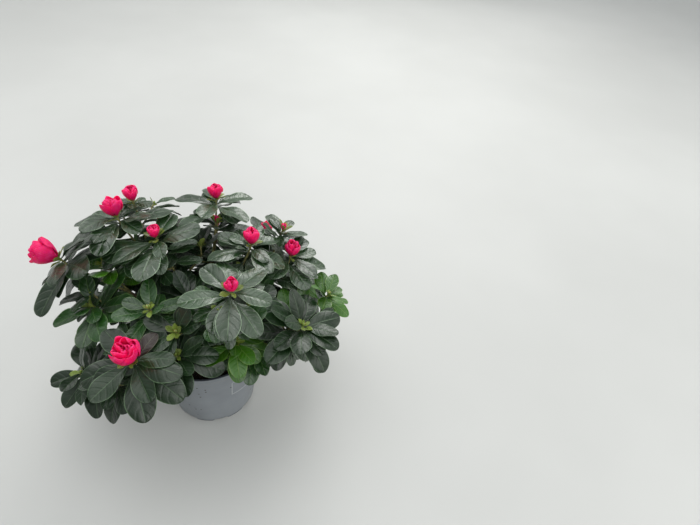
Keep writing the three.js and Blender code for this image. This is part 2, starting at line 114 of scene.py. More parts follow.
whorl = {
    "golden": 137.5,
    "leaves": 9,
    "depth": 14,
    "skyward": np.array([0, -0.15, 1.0]),
    "lightPull": 1.2,
    "bloomLift": 18,
    "bloomSteepest": 86,
    "bloomFoot": 2,
    "bloomHalf": 0.47,
    "budSize": 5,
    "opensFrom": 12,
    "clear": 0.24,
    # from the lowest leaf to the highest, and how much each leaf strays from that
    "lengths": (1, 0.62),
    "lengthStray": (0.9, 1.06),
    "bloomOpening": (86, 66),
    "budOpening": (86, 44),
    "openingStray": (-6, 6),
    "sags": (28, 12),
    "sagStray": (-6, 10),
    "folds": (-6, 14),
    "rolls": (-24, 24),
    "spinStray": (-12, 12),
    # degrees lifted, degrees swayed and share of the size that a leaf is tried at
    "tries": [
        [0, 0, 1], [8, 0, 1], [-10, 0, 1], [0, 14, 1], [0, -14, 1], [16, 0, 1], [-20, 0, 1],
        [10, 18, 1], [10, -18, 1], [-14, 20, 1], [-14, -20, 1], [24, 0, 0.9], [-32, 0, 0.9],
        [4, 10, 0.75], [-12, -10, 0.75], [14, 24, 0.7], [-26, -24, 0.7],
    ],
}

blade = {"width": 0.49, "petiole": 0.09, "widest": 0.61, "fullness": 0.66, "stalk": 0.06}
blade["sections"] = np.array([0.38, 0.68, 0.92])

grid = {"cell": 1.5, "halfWidth": 210, "height": 300, "step": 0.75, "round": 6, "potRound": 720, "across": 27}
owners = {"pot": 1000, "limb": 1001, "bloom": 1002, "leaf": 2000}

# bearing and rise in degrees, reach from the heart, rise of the tip, leaf length, bloom size,
# then the turn of the whorl and the rise of the bloom where they are set
crown = {
    "seed": 46,
    "heart": np.array([0, 0, 115.0]),
    "plan": [
        ("front", 18, [[-108, 34, 138, 64, 60, 29], [-90, 36, 108, 62, 50, 5]]),
        ("front_left", 12, [[-143, 5, 138, 44, 48, 5], [-130, 2, 118, 40, 48, 5]]),
        ("heart_front", 26, [[-122, 55, 112, 72, 42, 7], [-115, 77, 72, 80, 50, 5],
                             [-112, 41, 80, 60, 44, 5]]),
        ("left", 17, [[-177, 36, 179, 50, 60, 29, 210, 28], [-160, 32, 132, 50, 52, 5],
                      [178, 41, 138, 60, 46, 6]]),
        ("left_top", 20.5, [[157, 51, 168, 62, 56, 24], [143, 51, 174, 70, 34, 18]]),
        ("top_left", 26, [[155, 66, 133, 72, 60, 15]]),
        ("top_back", 26, [[91, 52, 160, 70, 54, 20], [90, 49, 132, 64, 42, 9]]),
        ("top_right", 26, [[36, 60, 130, 68, 50, 21]]),
        ("right_upper", 19, [[34, 35, 138, 66, 52, 21], [46, 41, 153, 58, 42, 10]]),
        ("right", 19, [[-15, 27, 140, 58, 56, 6], [15, 17, 154, 50, 44, 5]]),
        ("top_front", 26, [[-41, 61, 134, 72, 55, 16]]),
        ("front_right", 19, [[-47, 36, 94, 62, 44, 6]]),
        ("low_right", 12, [[-30, 22, 88, 56, 42, 5]]),
    ],
    "rear": [
        {"foot": 19, "rise": 31, "reach": 142, "facing": 50, "bearings": [65, 97, 128], "bloom": 18},
        {"foot": 12, "rise": 6, "reach": 136, "facing": 34, "bearings": [42, 82, 122, 162], "bloom": 5},
    ],
    "rearStray": {"rise": (-5, 5), "reach": (-6, 8), "leaf": (48, 56), "bloomShare": 0.6},
    # a second shoot beside each long bough, but not on the low ones in front
    "fillFrom": 120,
    "fillShare": 0.78,
    "fillTurn": 26,
    "fillDrop": 16,
    "fillLeaf": 46,
    "frontRise": 45,
    "steepTurn": 60,
}


def mix(a, b, t):
    return (1 - t) * a + t * b


def unit(v):
    return v / np.linalg.norm(v)


def seeded(seed):
    state = seed

    def draw():
        nonlocal state
        state = (state * 1664525 + 1013904223) & 0xFFFFFFFF
        return state / 4294967296

    return draw


def aim(bearing, rise):
    b, r = math.radians(bearing), math.radians(rise)
    return np.array([math.cos(r) * math.cos(b), math.cos(r) * math.sin(b), math.sin(r)])


def bend(a, b, c, steps):
    t = np.linspace(0, 1, steps + 1)[:, None]
    return (1 - t) ** 2 * a + 2 * t * (1 - t) * b + t * t * c


def squareTo(axis):
    side = np.array([0, 0, 1.0]) if abs(axis[2]) < 0.9 else np.array([1.0, 0, 0])
    right = unit(np.cross(axis, side))
    return right, np.cross(right, axis)


# the axis tipped over by some degrees, to a side that is turned round it by some degrees
def swing(axis, tip, turn):
    right, ahead = squareTo(axis)
    tilt, spin = math.radians(tip), math.radians(turn)
    heading = axis * math.cos(tilt) + right * (math.sin(tilt) * math.cos(spin))
    return heading + ahead * (math.sin(tilt) * math.sin(spin))


def lightOn(axis):
    return unit(axis + whorl["skyward"] * whorl["lightPull"])


def anglesRound(count):
    return np.arange(count) * (2 * math.pi / count)


def ringPoints(a, r, z):
    return np.stack([r * np.cos(a), r * np.sin(a), z + 0 * a], 1)


class Space:
    # which piece holds each cell round the plant, 0 being free
    def __init__(self, cell):
        self.cell = cell
        self.across = math.ceil(2 * grid["halfWidth"] / cell)
        self.owner = np.zeros((math.ceil(grid["height"] / cell), self.across, self.across), np.uint16)

    def cells(self, points):
        x = np.floor((points[:, 0] + grid["halfWidth"]) / self.cell).astype(int)
        y = np.floor((points[:, 1] + grid["halfWidth"]) / self.cell).astype(int)
        return np.floor(points[:, 2] / self.cell).astype(int), y, x

    def free(self, points, owner):
        if (points[:, 2] < 3 * grid["cell"]).any():
            return False
        held = self.owner[self.cells(points)]
        return not ((held != 0) & (held != owner)).any()

    # takes the free cells of the points and, to a margin of one, those round them
    def take(self, points, owner, margin=1):
        z, y, x = self.cells(points)
        taken = []
        for k in range(-margin, margin + 1):
            for j in range(-margin, margin + 1):
                for i in range(-margin, margin + 1):
                    at = (np.maximum(z + k, 0), y + j, x + i)
                    new = self.owner[at] == 0
                    at = tuple(a[new] for a in at)
                    self.owner[at] = owner
                    taken.append(at)
        return taken

    def giveBack(self, taken):
        for at in taken:
            self.owner[at] = 0


def limbPoints(path, radius):
    points = []
    for a, b in zip(path, path[1:]):
        right, ahead = squareTo(unit(b - a))
        steps = math.ceil(np.linalg.norm(b - a) / grid["step"])
        middle = a + (b - a) * (np.arange(steps + 1) / steps)[:, None]
        points.append(middle)
        for m in range(grid["round"]):
            turn = 2 * math.pi * m / grid["round"]
            points.append(middle + right * (radius * math.cos(turn)) + ahead * (radius * math.sin(turn)))
    return np.concatenate(points)


def bladeHalf(s):
    # a leaf's half-width at a share of its length, as a share of the greatest
    s = np.asarray(s, float)
    power = math.log(0.5) / math.log(blade["widest"])
    along = np.maximum(0, (s - blade["petiole"]) / (1 - blade["petiole"]))
    half = np.maximum(0, np.sin(np.pi * along**power)) ** blade["fullness"]
    return np.maximum(half, np.where(s < 0.5, blade["stalk"], 0))


class Leaf:
    # sets off along a heading with its face to the light, and sinks along its length
    def __init__(self, root, heading, light, sag, length, fold, roll):
        self.root, self.heading, self.length = root, heading, length
        self.sag, self.fold, self.roll = math.radians(sag), math.radians(fold), math.radians(roll)
        self.across = unit(np.cross(heading, light))
        self.face = np.cross(self.across, heading)

    def frames(self, s):
        turn = self.sag * np.asarray(s, float)[..., None]
        point = self.root + self.heading * (self.length * np.sin(turn) / self.sag)
        point = point + self.face * (self.length * (np.cos(turn) - 1) / self.sag)
        normal = self.face * np.cos(turn) + self.heading * np.sin(turn)
        tilt = self.roll * np.asarray(s, float)[..., None]
        across = self.across * np.cos(tilt) + normal * np.sin(tilt)
        return point, normal * np.cos(tilt) - self.across * np.sin(tilt), across

    def at(self, s, t):
        point, face, across = self.frames(s)
        half = (0.5 * blade["width"] * self.length * bladeHalf(s))[..., None]
        t = np.asarray(t, float)[..., None]
        point = point + across * (t * half * math.cos(self.fold))
        return point + face * (np.abs(t) * half * math.sin(self.fold))

    def rim(self):
        s = blade["sections"]
        start = self.root - self.heading * clearance
        left, tip = self.at(s, -np.ones(3)), self.at(np.ones(1), np.zeros(1))
        return np.concatenate([[start], left, tip, self.at(s[::-1], np.ones(3))])

    # points over the flat faces that its solid has
    def facePoints(self):
        middle = self.frames(0.5)[0]
        rim = self.rim()
        points = []
        for k, a in enumerate(rim):
            b = rim[(k + 1) % len(rim)]
            far = max(np.linalg.norm(a - middle), np.linalg.norm(b - middle))
            rings = math.ceil(far / grid["step"])
            ring = np.arange(1, rings + 1)
            steps = np.maximum(1, np.ceil(np.linalg.norm(b - a) * ring / rings / grid["step"])).astype(int)
            which = np.repeat(np.arange(rings), steps + 1)
            first = np.concatenate([[0], np.cumsum(steps + 1)[:-1]])
            share = (np.arange(len(which)) - first[which]) / steps[which]
            edge = a + (b - a) * share[:, None]
            points.append(middle + (edge - middle) * (ring[which] / rings)[:, None])
        points = np.concatenate(points)
        return points[np.linalg.norm(points - self.root, axis=1) > whorl["clear"] * self.length]

    # points over the curved blade itself
    def bladePoints(self, clear):
        s, t = np.meshgrid(np.linspace(clear, 1, int(self.length)), np.linspace(-1, 1, grid["across"]))
        return self.at(s.ravel(), t.ravel())


def bloomPoints(tip, axis, bloom):
    right, ahead = squareTo(axis)
    points = [np.zeros((0, 3))]
    for up in np.arange(whorl["bloomFoot"], bloom, grid["step"]):
        for r in np.arange(0, whorl["bloomHalf"] * bloom, grid["step"]):
            a = np.arange(0, 2 * math.pi, grid["step"] / max(r, 1))[:, None]
            points.append(tip + axis * up + right * (r * np.cos(a)) + ahead * (r * np.sin(a)))
    return np.concatenate(points)


def layShoot(foot, along, shoot, owner, space):
    bearing, rise, reach, facing, leafLength, bloom = shoot[:6]
    tip = crown["heart"] + aim(bearing, rise) * reach
    axis = aim(bearing, facing)
    low = tip - axis * whorl["depth"]
    span = np.linalg.norm(low - foot)
    elbow = foot + along * (span * 0.5)
    elbow = elbow + (low - axis * (span * 0.5) - elbow) * 0.5
    bloomRise = shoot[7] if len(shoot) > 7 else min(facing + whorl["bloomLift"], whorl["bloomSteepest"])
    bloomAxis = aim(bearing, bloomRise)
    petals = bloomPoints(tip, bloomAxis, bloom)
    for sway in limb["bends"]:
        bent = elbow + aim(bearing + 90, 0) * sway
        path = np.concatenate([bend(foot, bent, low, limb["twigSteps"]), [tip]])
        points = limbPoints(path, limb["twigRadius"])
        if space.free(points, owner) and space.free(petals, owner):
            space.take(points, owner)
            space.take(petals, owners["bloom"])
            return {
                "bends": (foot, bent, low), "tip": tip, "axis": axis, "bloomAxis": bloomAxis,
                "leafLength": leafLength, "bloom": bloom, "owner": owner, "leaves": [],
                "turn": shoot[6] if len(shoot) > 6 else None, "path": path,
            }
    return None


def growLeaves(shoot, space, random):
    start = shoot["turn"] if shoot["turn"] is not None else random() * 360
    light = lightOn(shoot["axis"])
    openings = whorl["bloomOpening" if shoot["bloom"] > whorl["opensFrom"] else "budOpening"]
    for i in range(whorl["leaves"]):
        t = i / (whorl["leaves"] - 1)
        root = shoot["tip"] - shoot["axis"] * (whorl["depth"] * (1 - t))
        length = shoot["leafLength"] * mix(*whorl["lengths"], t * t) * mix(*whorl["lengthStray"], random())
        opening = mix(*openings, t) + mix(*whorl["openingStray"], random())
        sag = mix(*whorl["sags"], t) + mix(*whorl["sagStray"], random())
        fold = mix(*whorl["folds"], random())
        roll = mix(*whorl["rolls"], random())
        spin = start + i * whorl["golden"] + mix(*whorl["spinStray"], random())
        for lift, sway, size in whorl["tries"]:
            heading = swing(shoot["axis"], opening + lift, spin + sway)
            leaf = Leaf(root, heading, light, sag, length * size, fold, roll)
            points = leaf.facePoints()
            if space.free(points, shoot["owner"]):
                space.take(points, owners["leaf"])
                owners["leaf"] += 1
                shoot["leaves"].append(leaf)
                break


def wholePlan(random):
    boughs = [{"name": n, "foot": f, "shoots": [list(s) for s in shoots]} for n, f, shoots in crown["plan"]]
    stray = crown["rearStray"]
    for level, row in enumerate(crown["rear"]):
        for i, bearing in enumerate(row["bearings"]):
            rise = row["rise"] + mix(*stray["rise"], random())
            bloom = row["bloom"] if random() < stray["bloomShare"] else whorl["budSize"]
            reach = row["reach"] + mix(*stray["reach"], random())
            main = [bearing, rise, reach, row["facing"], mix(*stray["leaf"], random()), bloom]
            name = f"back_{'low' if level else 'high'}_{i + 1}"
            boughs.append({"name": name, "foot": row["foot"], "shoots": [main]})
    for bough in boughs:
        bearing, rise, reach, facing = bough["shoots"][0][:4]
        if reach < crown["fillFrom"] or bearing < 0 and rise < crown["frontRise"]:
            continue
        side = -1 if random() < 0.5 else 1
        turn = side * crown["fillTurn"] / math.cos(math.radians(min(rise, crown["steepTurn"])))
        drop = crown["fillDrop"] * (0.5 + random())
        reach = reach * crown["fillShare"]
        fill = [bearing + turn, rise - drop, reach, facing - drop, crown["fillLeaf"], whorl["budSize"]]
        bough["shoots"].append(fill)
    return boughs


def stemPoint(height):
    point = stem["lean"] * (height / stem["height"])
    point[2] = peat["top"] + clearance + height
    return point


def boughStart(foot, bearing, rise):
    high = foot / stem["height"]
    lift = min(rise, limb["steepest"]) * mix(*limb["liftShares"], high)
    skin = stem["radius"] + clearance + limb["seat"]
    rad = math.radians(lift)
    reach = skin if high > limb["topShare"] else (skin + limb["boughRadius"] * math.sin(rad)) / math.cos(rad)
    out = aim(bearing, lift)
    return stemPoint(foot) + out * reach, out


def potRadiusAt(z):
    return mix(pot["footRadius"], pot["rimRadius"], z / pot["height"])


def potPoints():
    a = anglesRound(grid["potRound"])
    step = grid["step"]
    rings = [(potRadiusAt(z), z) for z in np.arange(0, pot["height"], step)]
    rings += [(pot["rimRadius"] - r, pot["height"] - 0.5) for r in np.arange(0, pot["lipWidth"], step)]
    rings += [(r, peat["top"] - 1) for r in np.arange(0, potRadiusAt(peat["top"]), step)]
    return np.concatenate([ringPoints(a, r, z) for r, z in rings])


def stemPath():
    return np.array([stemPoint(share * stem["height"]) for share in stem["shares"]])


def growCrown(random, space):
    space.take(potPoints(), owners["pot"])
    space.take(limbPoints(stemPath(), stem["radius"]), owners["limb"])
    boughs = wholePlan(random)
    for i, bough in enumerate(boughs):
        bearing, rise, reach = bough["shoots"][0][:3]
        start, out = boughStart(bough["foot"], bearing, rise)
        end = crown["heart"] + aim(bearing, rise) * (reach * limb["boughShare"])
        elbow = start + out * (np.linalg.norm(end - start) * 0.5)
        path = bend(start, elbow, end, limb["boughSteps"])
        along = unit(end - path[-2])
        foot = end + along * clearance
        bough.update(bends=(start, elbow, end), out=out, along=along, grown=[])
        bough["stemlet"] = np.array([foot, foot + along * limb["stemlet"]])
        space.take(limbPoints(path, limb["boughRadius"]), owners["limb"])
        space.take(limbPoints(bough["stemlet"], limb["boughTip"]), i + 1)
    shoots = []
    for k in range(max(len(bough["shoots"]) for bough in boughs)):
        for i, bough in enumerate(boughs):
            if k >= len(bough["shoots"]):
                continue
            shoot = layShoot(bough["stemlet"][1], bough["along"], bough["shoots"][k], i + 1, space)
            if shoot:
                shoot["key"] = f"{bough['name']} {k + 1}"
                shoots.append(shoot)
                bough["grown"].append(shoot)
    for shoot in shoots:
        growLeaves(shoot, space, random)
    return boughs, shoots


finer = {
    "seed": 5,
    "cell": 1.25,
    # leaves that close a whorl, and leaves that stand along its twig
    "fill": {"leaves": 6, "down": (0.1, 1.15), "length": (0.98, 0.66), "opening": (96, 58)},
    "lower": {"leaves": 6, "along": (8, 20), "length": (0.9, 0.6), "opening": (64, 100)},
    "steps": 20,
    "boughSteps": 12,
    "sideSteps": 6,
    "sags": (12, 34),
    "rootClear": 0.2,
    "twigShare": 0.8,
    # side shoots from each twig and bough: where they spring, how they turn up, and their small whorls
    "fromTwigs": 4,
    "fromBoughs": 7,
    "springs": (0.3, 0.95),
    "tilt": (35, 75),
    "upward": (0.2, 0.8),
    "reach": (20, 36),
    "radius": 0.9,
    "bare": 4,
    "leafLength": (36, 47),
    "leaves": 8,
    "depth": 10,
    "lengths": (1, 0.6),
    "openings": (88, 42),
    "openingStray": (-8, 8),
    "leastLeaves": 4,
    "bud": 4,
    # how far past the solids, up to which height, and how finely the directions are told apart
    "slack": 4,
    "top": cadBox[1][2] / mm + 3,
    "binDegrees": 12,
}


def directionBins(points):
    v = points - crown["heart"]
    far = np.linalg.norm(v, axis=1)
    bearing = np.degrees(np.arctan2(v[:, 1], v[:, 0])) % 360
    rise = np.degrees(np.arcsin(np.clip(v[:, 2] / np.maximum(far, 1e-6), -1, 1))) + 90
    step = finer["binDegrees"]
    return (bearing // step).astype(int), (rise // step).astype(int), far


# how far the solids reach in each direction from the heart, which no finer leaf goes beyond
def reachOf(shoots):
    count = 360 // finer["binDegrees"] + 1
    reach = np.zeros((count, count))
    for shoot in shoots:
        points = [bloomPoints(shoot["tip"], shoot["bloomAxis"], shoot["bloom"])]
        points += [leaf.facePoints() for leaf in shoot["leaves"]]
        b, r, far = directionBins(np.concatenate(points))
        np.maximum.at(reach, (b, r), far)
    return reach + finer["slack"]


def within(points, reach):
    b, r, far = directionBins(points)
    return bool((far <= reach[b, r]).all() and points[:, 2].max() < finer["top"])


# tries a leaf at one place until it is clear of all others, and says which cells it took
def tryLeaf(root, axis, light, opening, spin, length, core, reach, random):
    sag = mix(*finer["sags"], random())
    fold, roll = mix(*whorl["folds"], random()), mix(*whorl["rolls"], random())
    for lift, sway, size in whorl["tries"]:
        heading = swing(axis, opening + lift, spin + sway)
        leaf = Leaf(root, heading, light, sag, length * size, fold, roll)
        points = leaf.bladePoints(finer["rootClear"])
        if within(points, reach) and core.free(points, 0):
            return leaf, core.take(points, owners["leaf"], 0)
    return None, None


# leaves that close the gaps of a whorl, and leaves further down its twig
def thicken(shoot, core, reach, random):
    axis, light = shoot["axis"], lightOn(shoot["axis"])
    twig = bend(*shoot["bends"], finer["steps"])
    for kind in ["fill"] * finer["fill"]["leaves"] + ["lower"] * finer["lower"]["leaves"]:
        rule = finer[kind]
        if kind == "fill":
            root, along = shoot["tip"] - axis * (whorl["depth"] * mix(*rule["down"], random())), axis
        else:
            at = int(mix(*rule["along"], random()))
            root, along = twig[at], unit(twig[at] - twig[at - 1])
        length = shoot["leafLength"] * mix(*rule["length"], random())
        opening, spin = mix(*rule["opening"], random()), random() * 360
        leaf, _ = tryLeaf(root, along, light, opening, spin, length, core, reach, random)
        if leaf:
            shoot["leaves"].append(leaf)


# a side shoot springs from a limb, turns up to the light and ends in a small whorl
def sideShoot(points, core, reach, random):
    at = int(mix(*finer["springs"], random()) * (len(points) - 1))
    start, along = points[at], unit(points[at] - points[at - 1])
    turn = random() * 360
    out = swing(along, mix(*finer["tilt"], random()), turn)
    span = mix(*finer["reach"], random())
    axis = unit(out + np.array([0, 0, mix(*finer["upward"], random())]))
    tip = start + out * (span * 0.55) + axis * (span * 0.5)
    bends = (start, start + out * (span * 0.5), tip)
    skin = limbPoints(bend(*bends, finer["sideSteps"]), finer["radius"])
    skin = skin[np.linalg.norm(skin - start, axis=1) > finer["bare"]]
    if not within(skin, reach) or not core.free(skin, 0):
        return None
    taken = [core.take(skin, owners["limb"], 0)]
    length = mix(*finer["leafLength"], random())
    light, spin = lightOn(axis), random() * 360
    leaves = []
    for i in range(finer["leaves"]):
        t = i / (finer["leaves"] - 1)
        root = tip - axis * (finer["depth"] * (1 - t))
        size = length * mix(*finer["lengths"], t * t) * mix(*whorl["lengthStray"], random())
        opening = mix(*finer["openings"], t) + mix(*finer["openingStray"], random())
        leaf, cells = tryLeaf(root, axis, light, opening, spin + i * whorl["golden"], size,
                              core, reach, random)
        if leaf:
            leaves.append(leaf)
            taken.append(cells)
    if len(leaves) >= finer["leastLeaves"]:
        return {"key": "side", "bends": bends, "tip": tip, "axis": axis, "bloomAxis": axis,
                "bloom": finer["bud"], "leaves": leaves}
    for cells in taken:
        core.giveBack(cells)
    return None


def growFiner(boughs, shoots):
    random = seeded(finer["seed"])
    core = Space(finer["cell"])
    core.take(potPoints(), owners["pot"], 0)
    core.take(limbPoints(stemPath(), stem["radius"]), owners["limb"], 0)
    for bough in boughs:
        path = bend(*bough["bends"], finer["boughSteps"])
        core.take(limbPoints(path, limb["boughRadius"]), owners["limb"], 0)
    for shoot in shoots:
        core.take(limbPoints(shoot["path"], limb["twigRadius"] * finer["twigShare"]), owners["limb"], 0)
        core.take(bloomPoints(shoot["tip"], shoot["bloomAxis"], shoot["bloom"]), owners["bloom"], 0)
        for leaf in shoot["leaves"]:
            core.take(leaf.bladePoints(finer["rootClear"]), owners["leaf"], 0)
    reach = reachOf(shoots)
    for shoot in shoots:
        thicken(shoot, core, reach, random)
    carriers = shoots * finer["fromTwigs"] + boughs * finer["fromBoughs"]
    added = [sideShoot(bend(*one["bends"], finer["steps"]), core, reach, random) for one in carriers]
    return [shoot for shoot in added if shoot]


space = Space(grid["cell"])
boughs, shoots = growCrown(seeded(crown["seed"]), space)
boughs = [bough for bough in boughs if bough["grown"]]
sideShoots = growFiner(boughs, shoots)
leafCount = sum(len(shoot["leaves"]) for shoot in shoots + sideShoots)
print("crown grown:", len(shoots), "shoots,", len(sideShoots), "side shoots,", leafCount, "leaves")


def meshObject(name, points, faces, uv=None, slots=None, shade=None, materials=(), sharp=None):
    mesh = bpy.data.meshes.new(name)
    mesh.from_pydata((np.asarray(points) * mm).tolist(), [], faces, shade_flat=False)
    corner = np.zeros(len(mesh.loops), np.int32)
    mesh.loops.foreach_get("vertex_index", corner)
    if uv is not None:
        layer = mesh.uv_layers.new(name="UVMap")
        layer.uv.foreach_set("vector", np.asarray(uv, np.float32)[corner].ravel())
    if slots is not None:
        mesh.polygons.foreach_set("material_index", np.asarray(slots, np.int32))
    if shade is not None:
        layer = mesh.attributes.new("shade", "FLOAT", "POINT")
        layer.data.foreach_set("value", np.asarray(shade, np.float32))
    if sharp:
        mesh.set_sharp_from_angle(angle=math.radians(sharp))
    for material in materials:
        mesh.materials.append(material)
    made = bpy.data.objects.new(name, mesh)
    bpy.context.scene.collection.objects.link(made)
    return made


# faces between rings of points, each ring with as many sides
def ringFaces(rings, sides, upward=True):
    faces = []
    for i in range(1, rings):
        low, high = (i - 1) * sides, i * sides
        for k in range(sides):
            n = (k + 1) % sides
            face = (low + k, high + k, high + n, low + n)
            faces.append(face if upward else (low + k, low + n, high + n, high + k))
    return faces


shellGaps = {"merge": 0.02, "thin": 0.01}


# merges the points at seams and poles, and turns all faces outwards
def closeShell(made, dropThin=False):
    shell = bmesh.new()
    shell.from_mesh(made.data)
    bmesh.ops.remove_doubles(shell, verts=shell.verts, dist=shellGaps["merge"] * mm)
    if dropThin:
        bmesh.ops.dissolve_degenerate(shell, edges=shell.edges, dist=shellGaps["thin"] * mm)
    bmesh.ops.recalc_face_normals(shell, faces=shell.faces)
    shell.to_mesh(made.data)
    shell.free()


def rgb(text):
    parts = [int(text[i : i + 2], 16) / 255 for i in (0, 2, 4)]
    return [p / 12.92 if p <= 0.04045 else ((p + 0.055) / 1.055) ** 2.4 for p in parts] + [1]


class NodeTree:
    # makes a node and joins or sets its inputs; a kind without "Node" is one of this tree's own family
    def node(self, kind, inputs=None, **settings):
        made = self.tree.nodes.new(kind if "Node" in kind else self.family + kind)
        for key, value in settings.items():
            setattr(made, key, value)
        for key, value in (inputs or {}).items():
            self.join(made.inputs[key], value)
        return made

    # the same, for the one value that comes out first
    def make(self, kind, inputs=None, **settings):
        return self.node(kind, inputs, **settings).outputs[0]

    def join(self, socket, value):
        if isinstance(value, bpy.types.NodeSocket):
            self.tree.links.new(value, socket)
        else:
            socket.default_value = value


class Shader(NodeTree):
    # a material, with a short call for each kind of step
    family = "ShaderNode"

    def __init__(self, name):
        self.material = bpy.data.materials.new(name)
        self.material.use_nodes = True
        self.tree = self.material.node_tree
        self.surface = self.tree.nodes["Principled BSDF"]

    def math(self, operation, a, b=0.0):
        return self.make("Math", {0: a, 1: b}, operation=operation)

    def times(self, a, b):
        return self.math("MULTIPLY", a, b)

    def plus(self, a, b):
        return self.math("ADD", a, b)

    def minus(self, a, b):
        return self.math("SUBTRACT", a, b)

    # the place on the object, or on its own UV map
    def place(self, kind="Object"):
        return self.node("TexCoord").outputs[kind]

    def parts(self, vector):
        return self.node("SeparateXYZ", {0: vector}).outputs

    def ramp(self, value, low, high, start=0.0, end=1.0):
        ends = {"Value": value, "From Min": low, "From Max": high, "To Min": start, "To Max": end}
        return self.make("MapRange", ends, interpolation_type="SMOOTHSTEP")

    def noise(self, scale, detail=3.0, stretch=(1, 1, 1)):
        place = self.make("Mapping", {"Vector": self.place(), "Scale": stretch})
        made = self.node("TexNoise", {"Vector": place, "Scale": scale, "Detail": detail, "Roughness": 0.55})
        return made.outputs["Fac"]

    def blend(self, share, a, b):
        return self.node("Mix", {0: share, 6: a, 7: b}, data_type="RGBA").outputs[2]

    def finish(self, colour, roughness, height, distance, strength, **rest):
        bump = self.node("Bump", {"Height": height, "Distance": distance, "Strength": strength})
        given = {"Base Color": colour, "Roughness": roughness, "Normal": bump.outputs[0]}
        given.update({key.replace("_", " "): value for key, value in rest.items()})
        for key, value in given.items():
            self.join(self.surface.inputs[key], value)
        return self.material


leafLook = {
    "rows": 21,
    "columns": np.array([-1, -0.88, -0.66, -0.4, -0.14, 0, 0.14, 0.4, 0.66, 0.88, 1]),
    "under": [2, 5, 8],
    # how many side veins, how they run out to the margin, and how far the two halves are shifted
    "veins": (4.6, 6.4),
    "veinSlant": 1.15,
    "veinCurve": 1.35,
    "veinShift": 0.45,
    "blotches": 70.0,
    "fineNet": 330.0,
    "grain": 220.0,
    # height of the puffs between the veins, and share of the sheen and the fine relief
    "quilt": {"grey": 0.95, "green": 0.5, "fresh": 0.42, "young": 0.42, "deep": 0.44, "bronze": 0.4},
    "sheen": {"grey": 1.3, "green": 1.0, "fresh": 0.8, "young": 0.8, "deep": 0.72, "bronze": 0.66},
    "puffStray": (0.35, 1.0),
    "groove": 0.35,
    "camber": (-1.2, 2.0),
    "ripple": 0.9,
    "tipFullness": 0.5,
    "thickness": 0.45,
    "keel": 0.75,
    # lengths above are for a leaf this long
    "usualLength": 50,
    "sharpFrom": 50,
    # a leaf piece stays under 200,000 triangles
    "mostLeaves": 320,
    "bronzeLeaf": 2,
    "bronzeLength": 0.62,
    # upper face, vein and margin, underside
    "tones": {
        "deep": ("142a11", "5c7753", "3e5833"),
        "grey": ("203b1a", "8ba582", "48643f"),
        "green": ("1b4010", "6f9252", "42692f"),
        "fresh": ("33600c", "82a04e", "608734"),
        "young": ("6f8430", "adb66a", "8a9a4a"),
        "bronze": ("2d231b", "76795f", "5c5640"),
    },
    "toneOf": {
        "front 1": "deep", "front 2": "deep", "left 1": "deep", "left 2": "green", "left 3": "fresh",
        "left_top 1": "grey", "top_left 1": "grey", "top_back 1": "grey", "top_right 1": "grey",
        "right_upper 1": "grey", "top_front 1": "grey", "top_front 2": "deep", "front_right 1": "fresh",
        "low_right 1": "green", "right 1": "deep", "right 2": "fresh", "heart_front 1": "green",
    },
    "otherTones": ["deep", "deep", "grey", "grey", "green"],
    "sideTones": ["deep", "deep", "deep", "grey", "green", "green"],
}


# sunken veins that curve towards the tip, drawn a little darker as painted shade, a satin skin between them
# and a pale thin margin
def leafMaterial(tone, face):
    upper, vein, under = [rgb(colour) for colour in leafLook["tones"][tone]]
    m = Shader(f"leaf {tone} {face}")
    where = m.parts(m.place("UV"))
    shade = m.node("Attribute", attribute_name="shade").outputs["Fac"]
    along = m.math("DIVIDE", m.minus(where[0], blade["petiole"]), 1 - blade["petiole"])
    across = m.minus(m.times(where[1], 2.0), 1.0)
    out = m.math("ABSOLUTE", across)
    blotch = m.noise(leafLook["blotches"], 2.0)
    phase = m.times(along, m.ramp(shade, 0.0, 1.0, *leafLook["veins"]))
    phase = m.minus(phase, m.times(m.math("POWER", out, leafLook["veinCurve"]), leafLook["veinSlant"]))
    phase = m.plus(phase, m.times(m.math("GREATER_THAN", across, 0.0), leafLook["veinShift"]))
    phase = m.plus(phase, m.times(blotch, 0.5))
    wave = m.math("COSINE", m.times(phase, 2 * math.pi))
    veins = m.times(m.ramp(wave, 0.82, 1.0), m.ramp(out, 0.95, 0.55))
    rib = m.ramp(out, 0.06, 0.012)
    if face == "under":
        colour = m.blend(m.times(blotch, 0.5), under, upper)
        colour = m.blend(m.times(rib, 0.6), colour, vein)
        return m.finish(colour, 0.62, veins, 0.0003, 0.6)
    edge = m.ramp(out, 0.93, 0.985)
    net = {"Vector": m.place(), "Scale": leafLook["fineNet"]}
    net = m.ramp(m.node("TexVoronoi", net, feature="DISTANCE_TO_EDGE").outputs[0], 0.0, 0.22)
    dark = [c * 0.66 for c in upper[:3]] + [1]
    light = [min(1, c * 1.3) for c in upper[:3]] + [1]
    colour = m.blend(shade, dark, light)
    colour = m.blend(m.ramp(blotch, 0.35, 0.7, 0.0, 0.35), colour, upper)
    # painted shade: the sunken side veins are darkened in the colour
    colour = m.blend(m.times(veins, 0.3), colour, dark)
    colour = m.blend(m.times(rib, 0.42), colour, vein)
    colour = m.blend(m.times(edge, 0.75), colour, vein)
    height = m.plus(m.times(m.ramp(wave, 1.0, 0.3), 0.8), m.times(net, 0.14))
    height = m.minus(height, m.times(rib, 0.6))
    height = m.plus(height, m.times(m.noise(leafLook["grain"], 2.0), 0.8))
    rough = m.ramp(blotch, 0.3, 0.7, 0.3, 0.44)
    sheen = leafLook["sheen"][tone]
    return m.finish(colour, rough, height, 0.0005, 0.75 * sheen, Specular_IOR_Level=0.6 * sheen,
                    Coat_Weight=0.3 * sheen, Coat_Roughness=0.28)


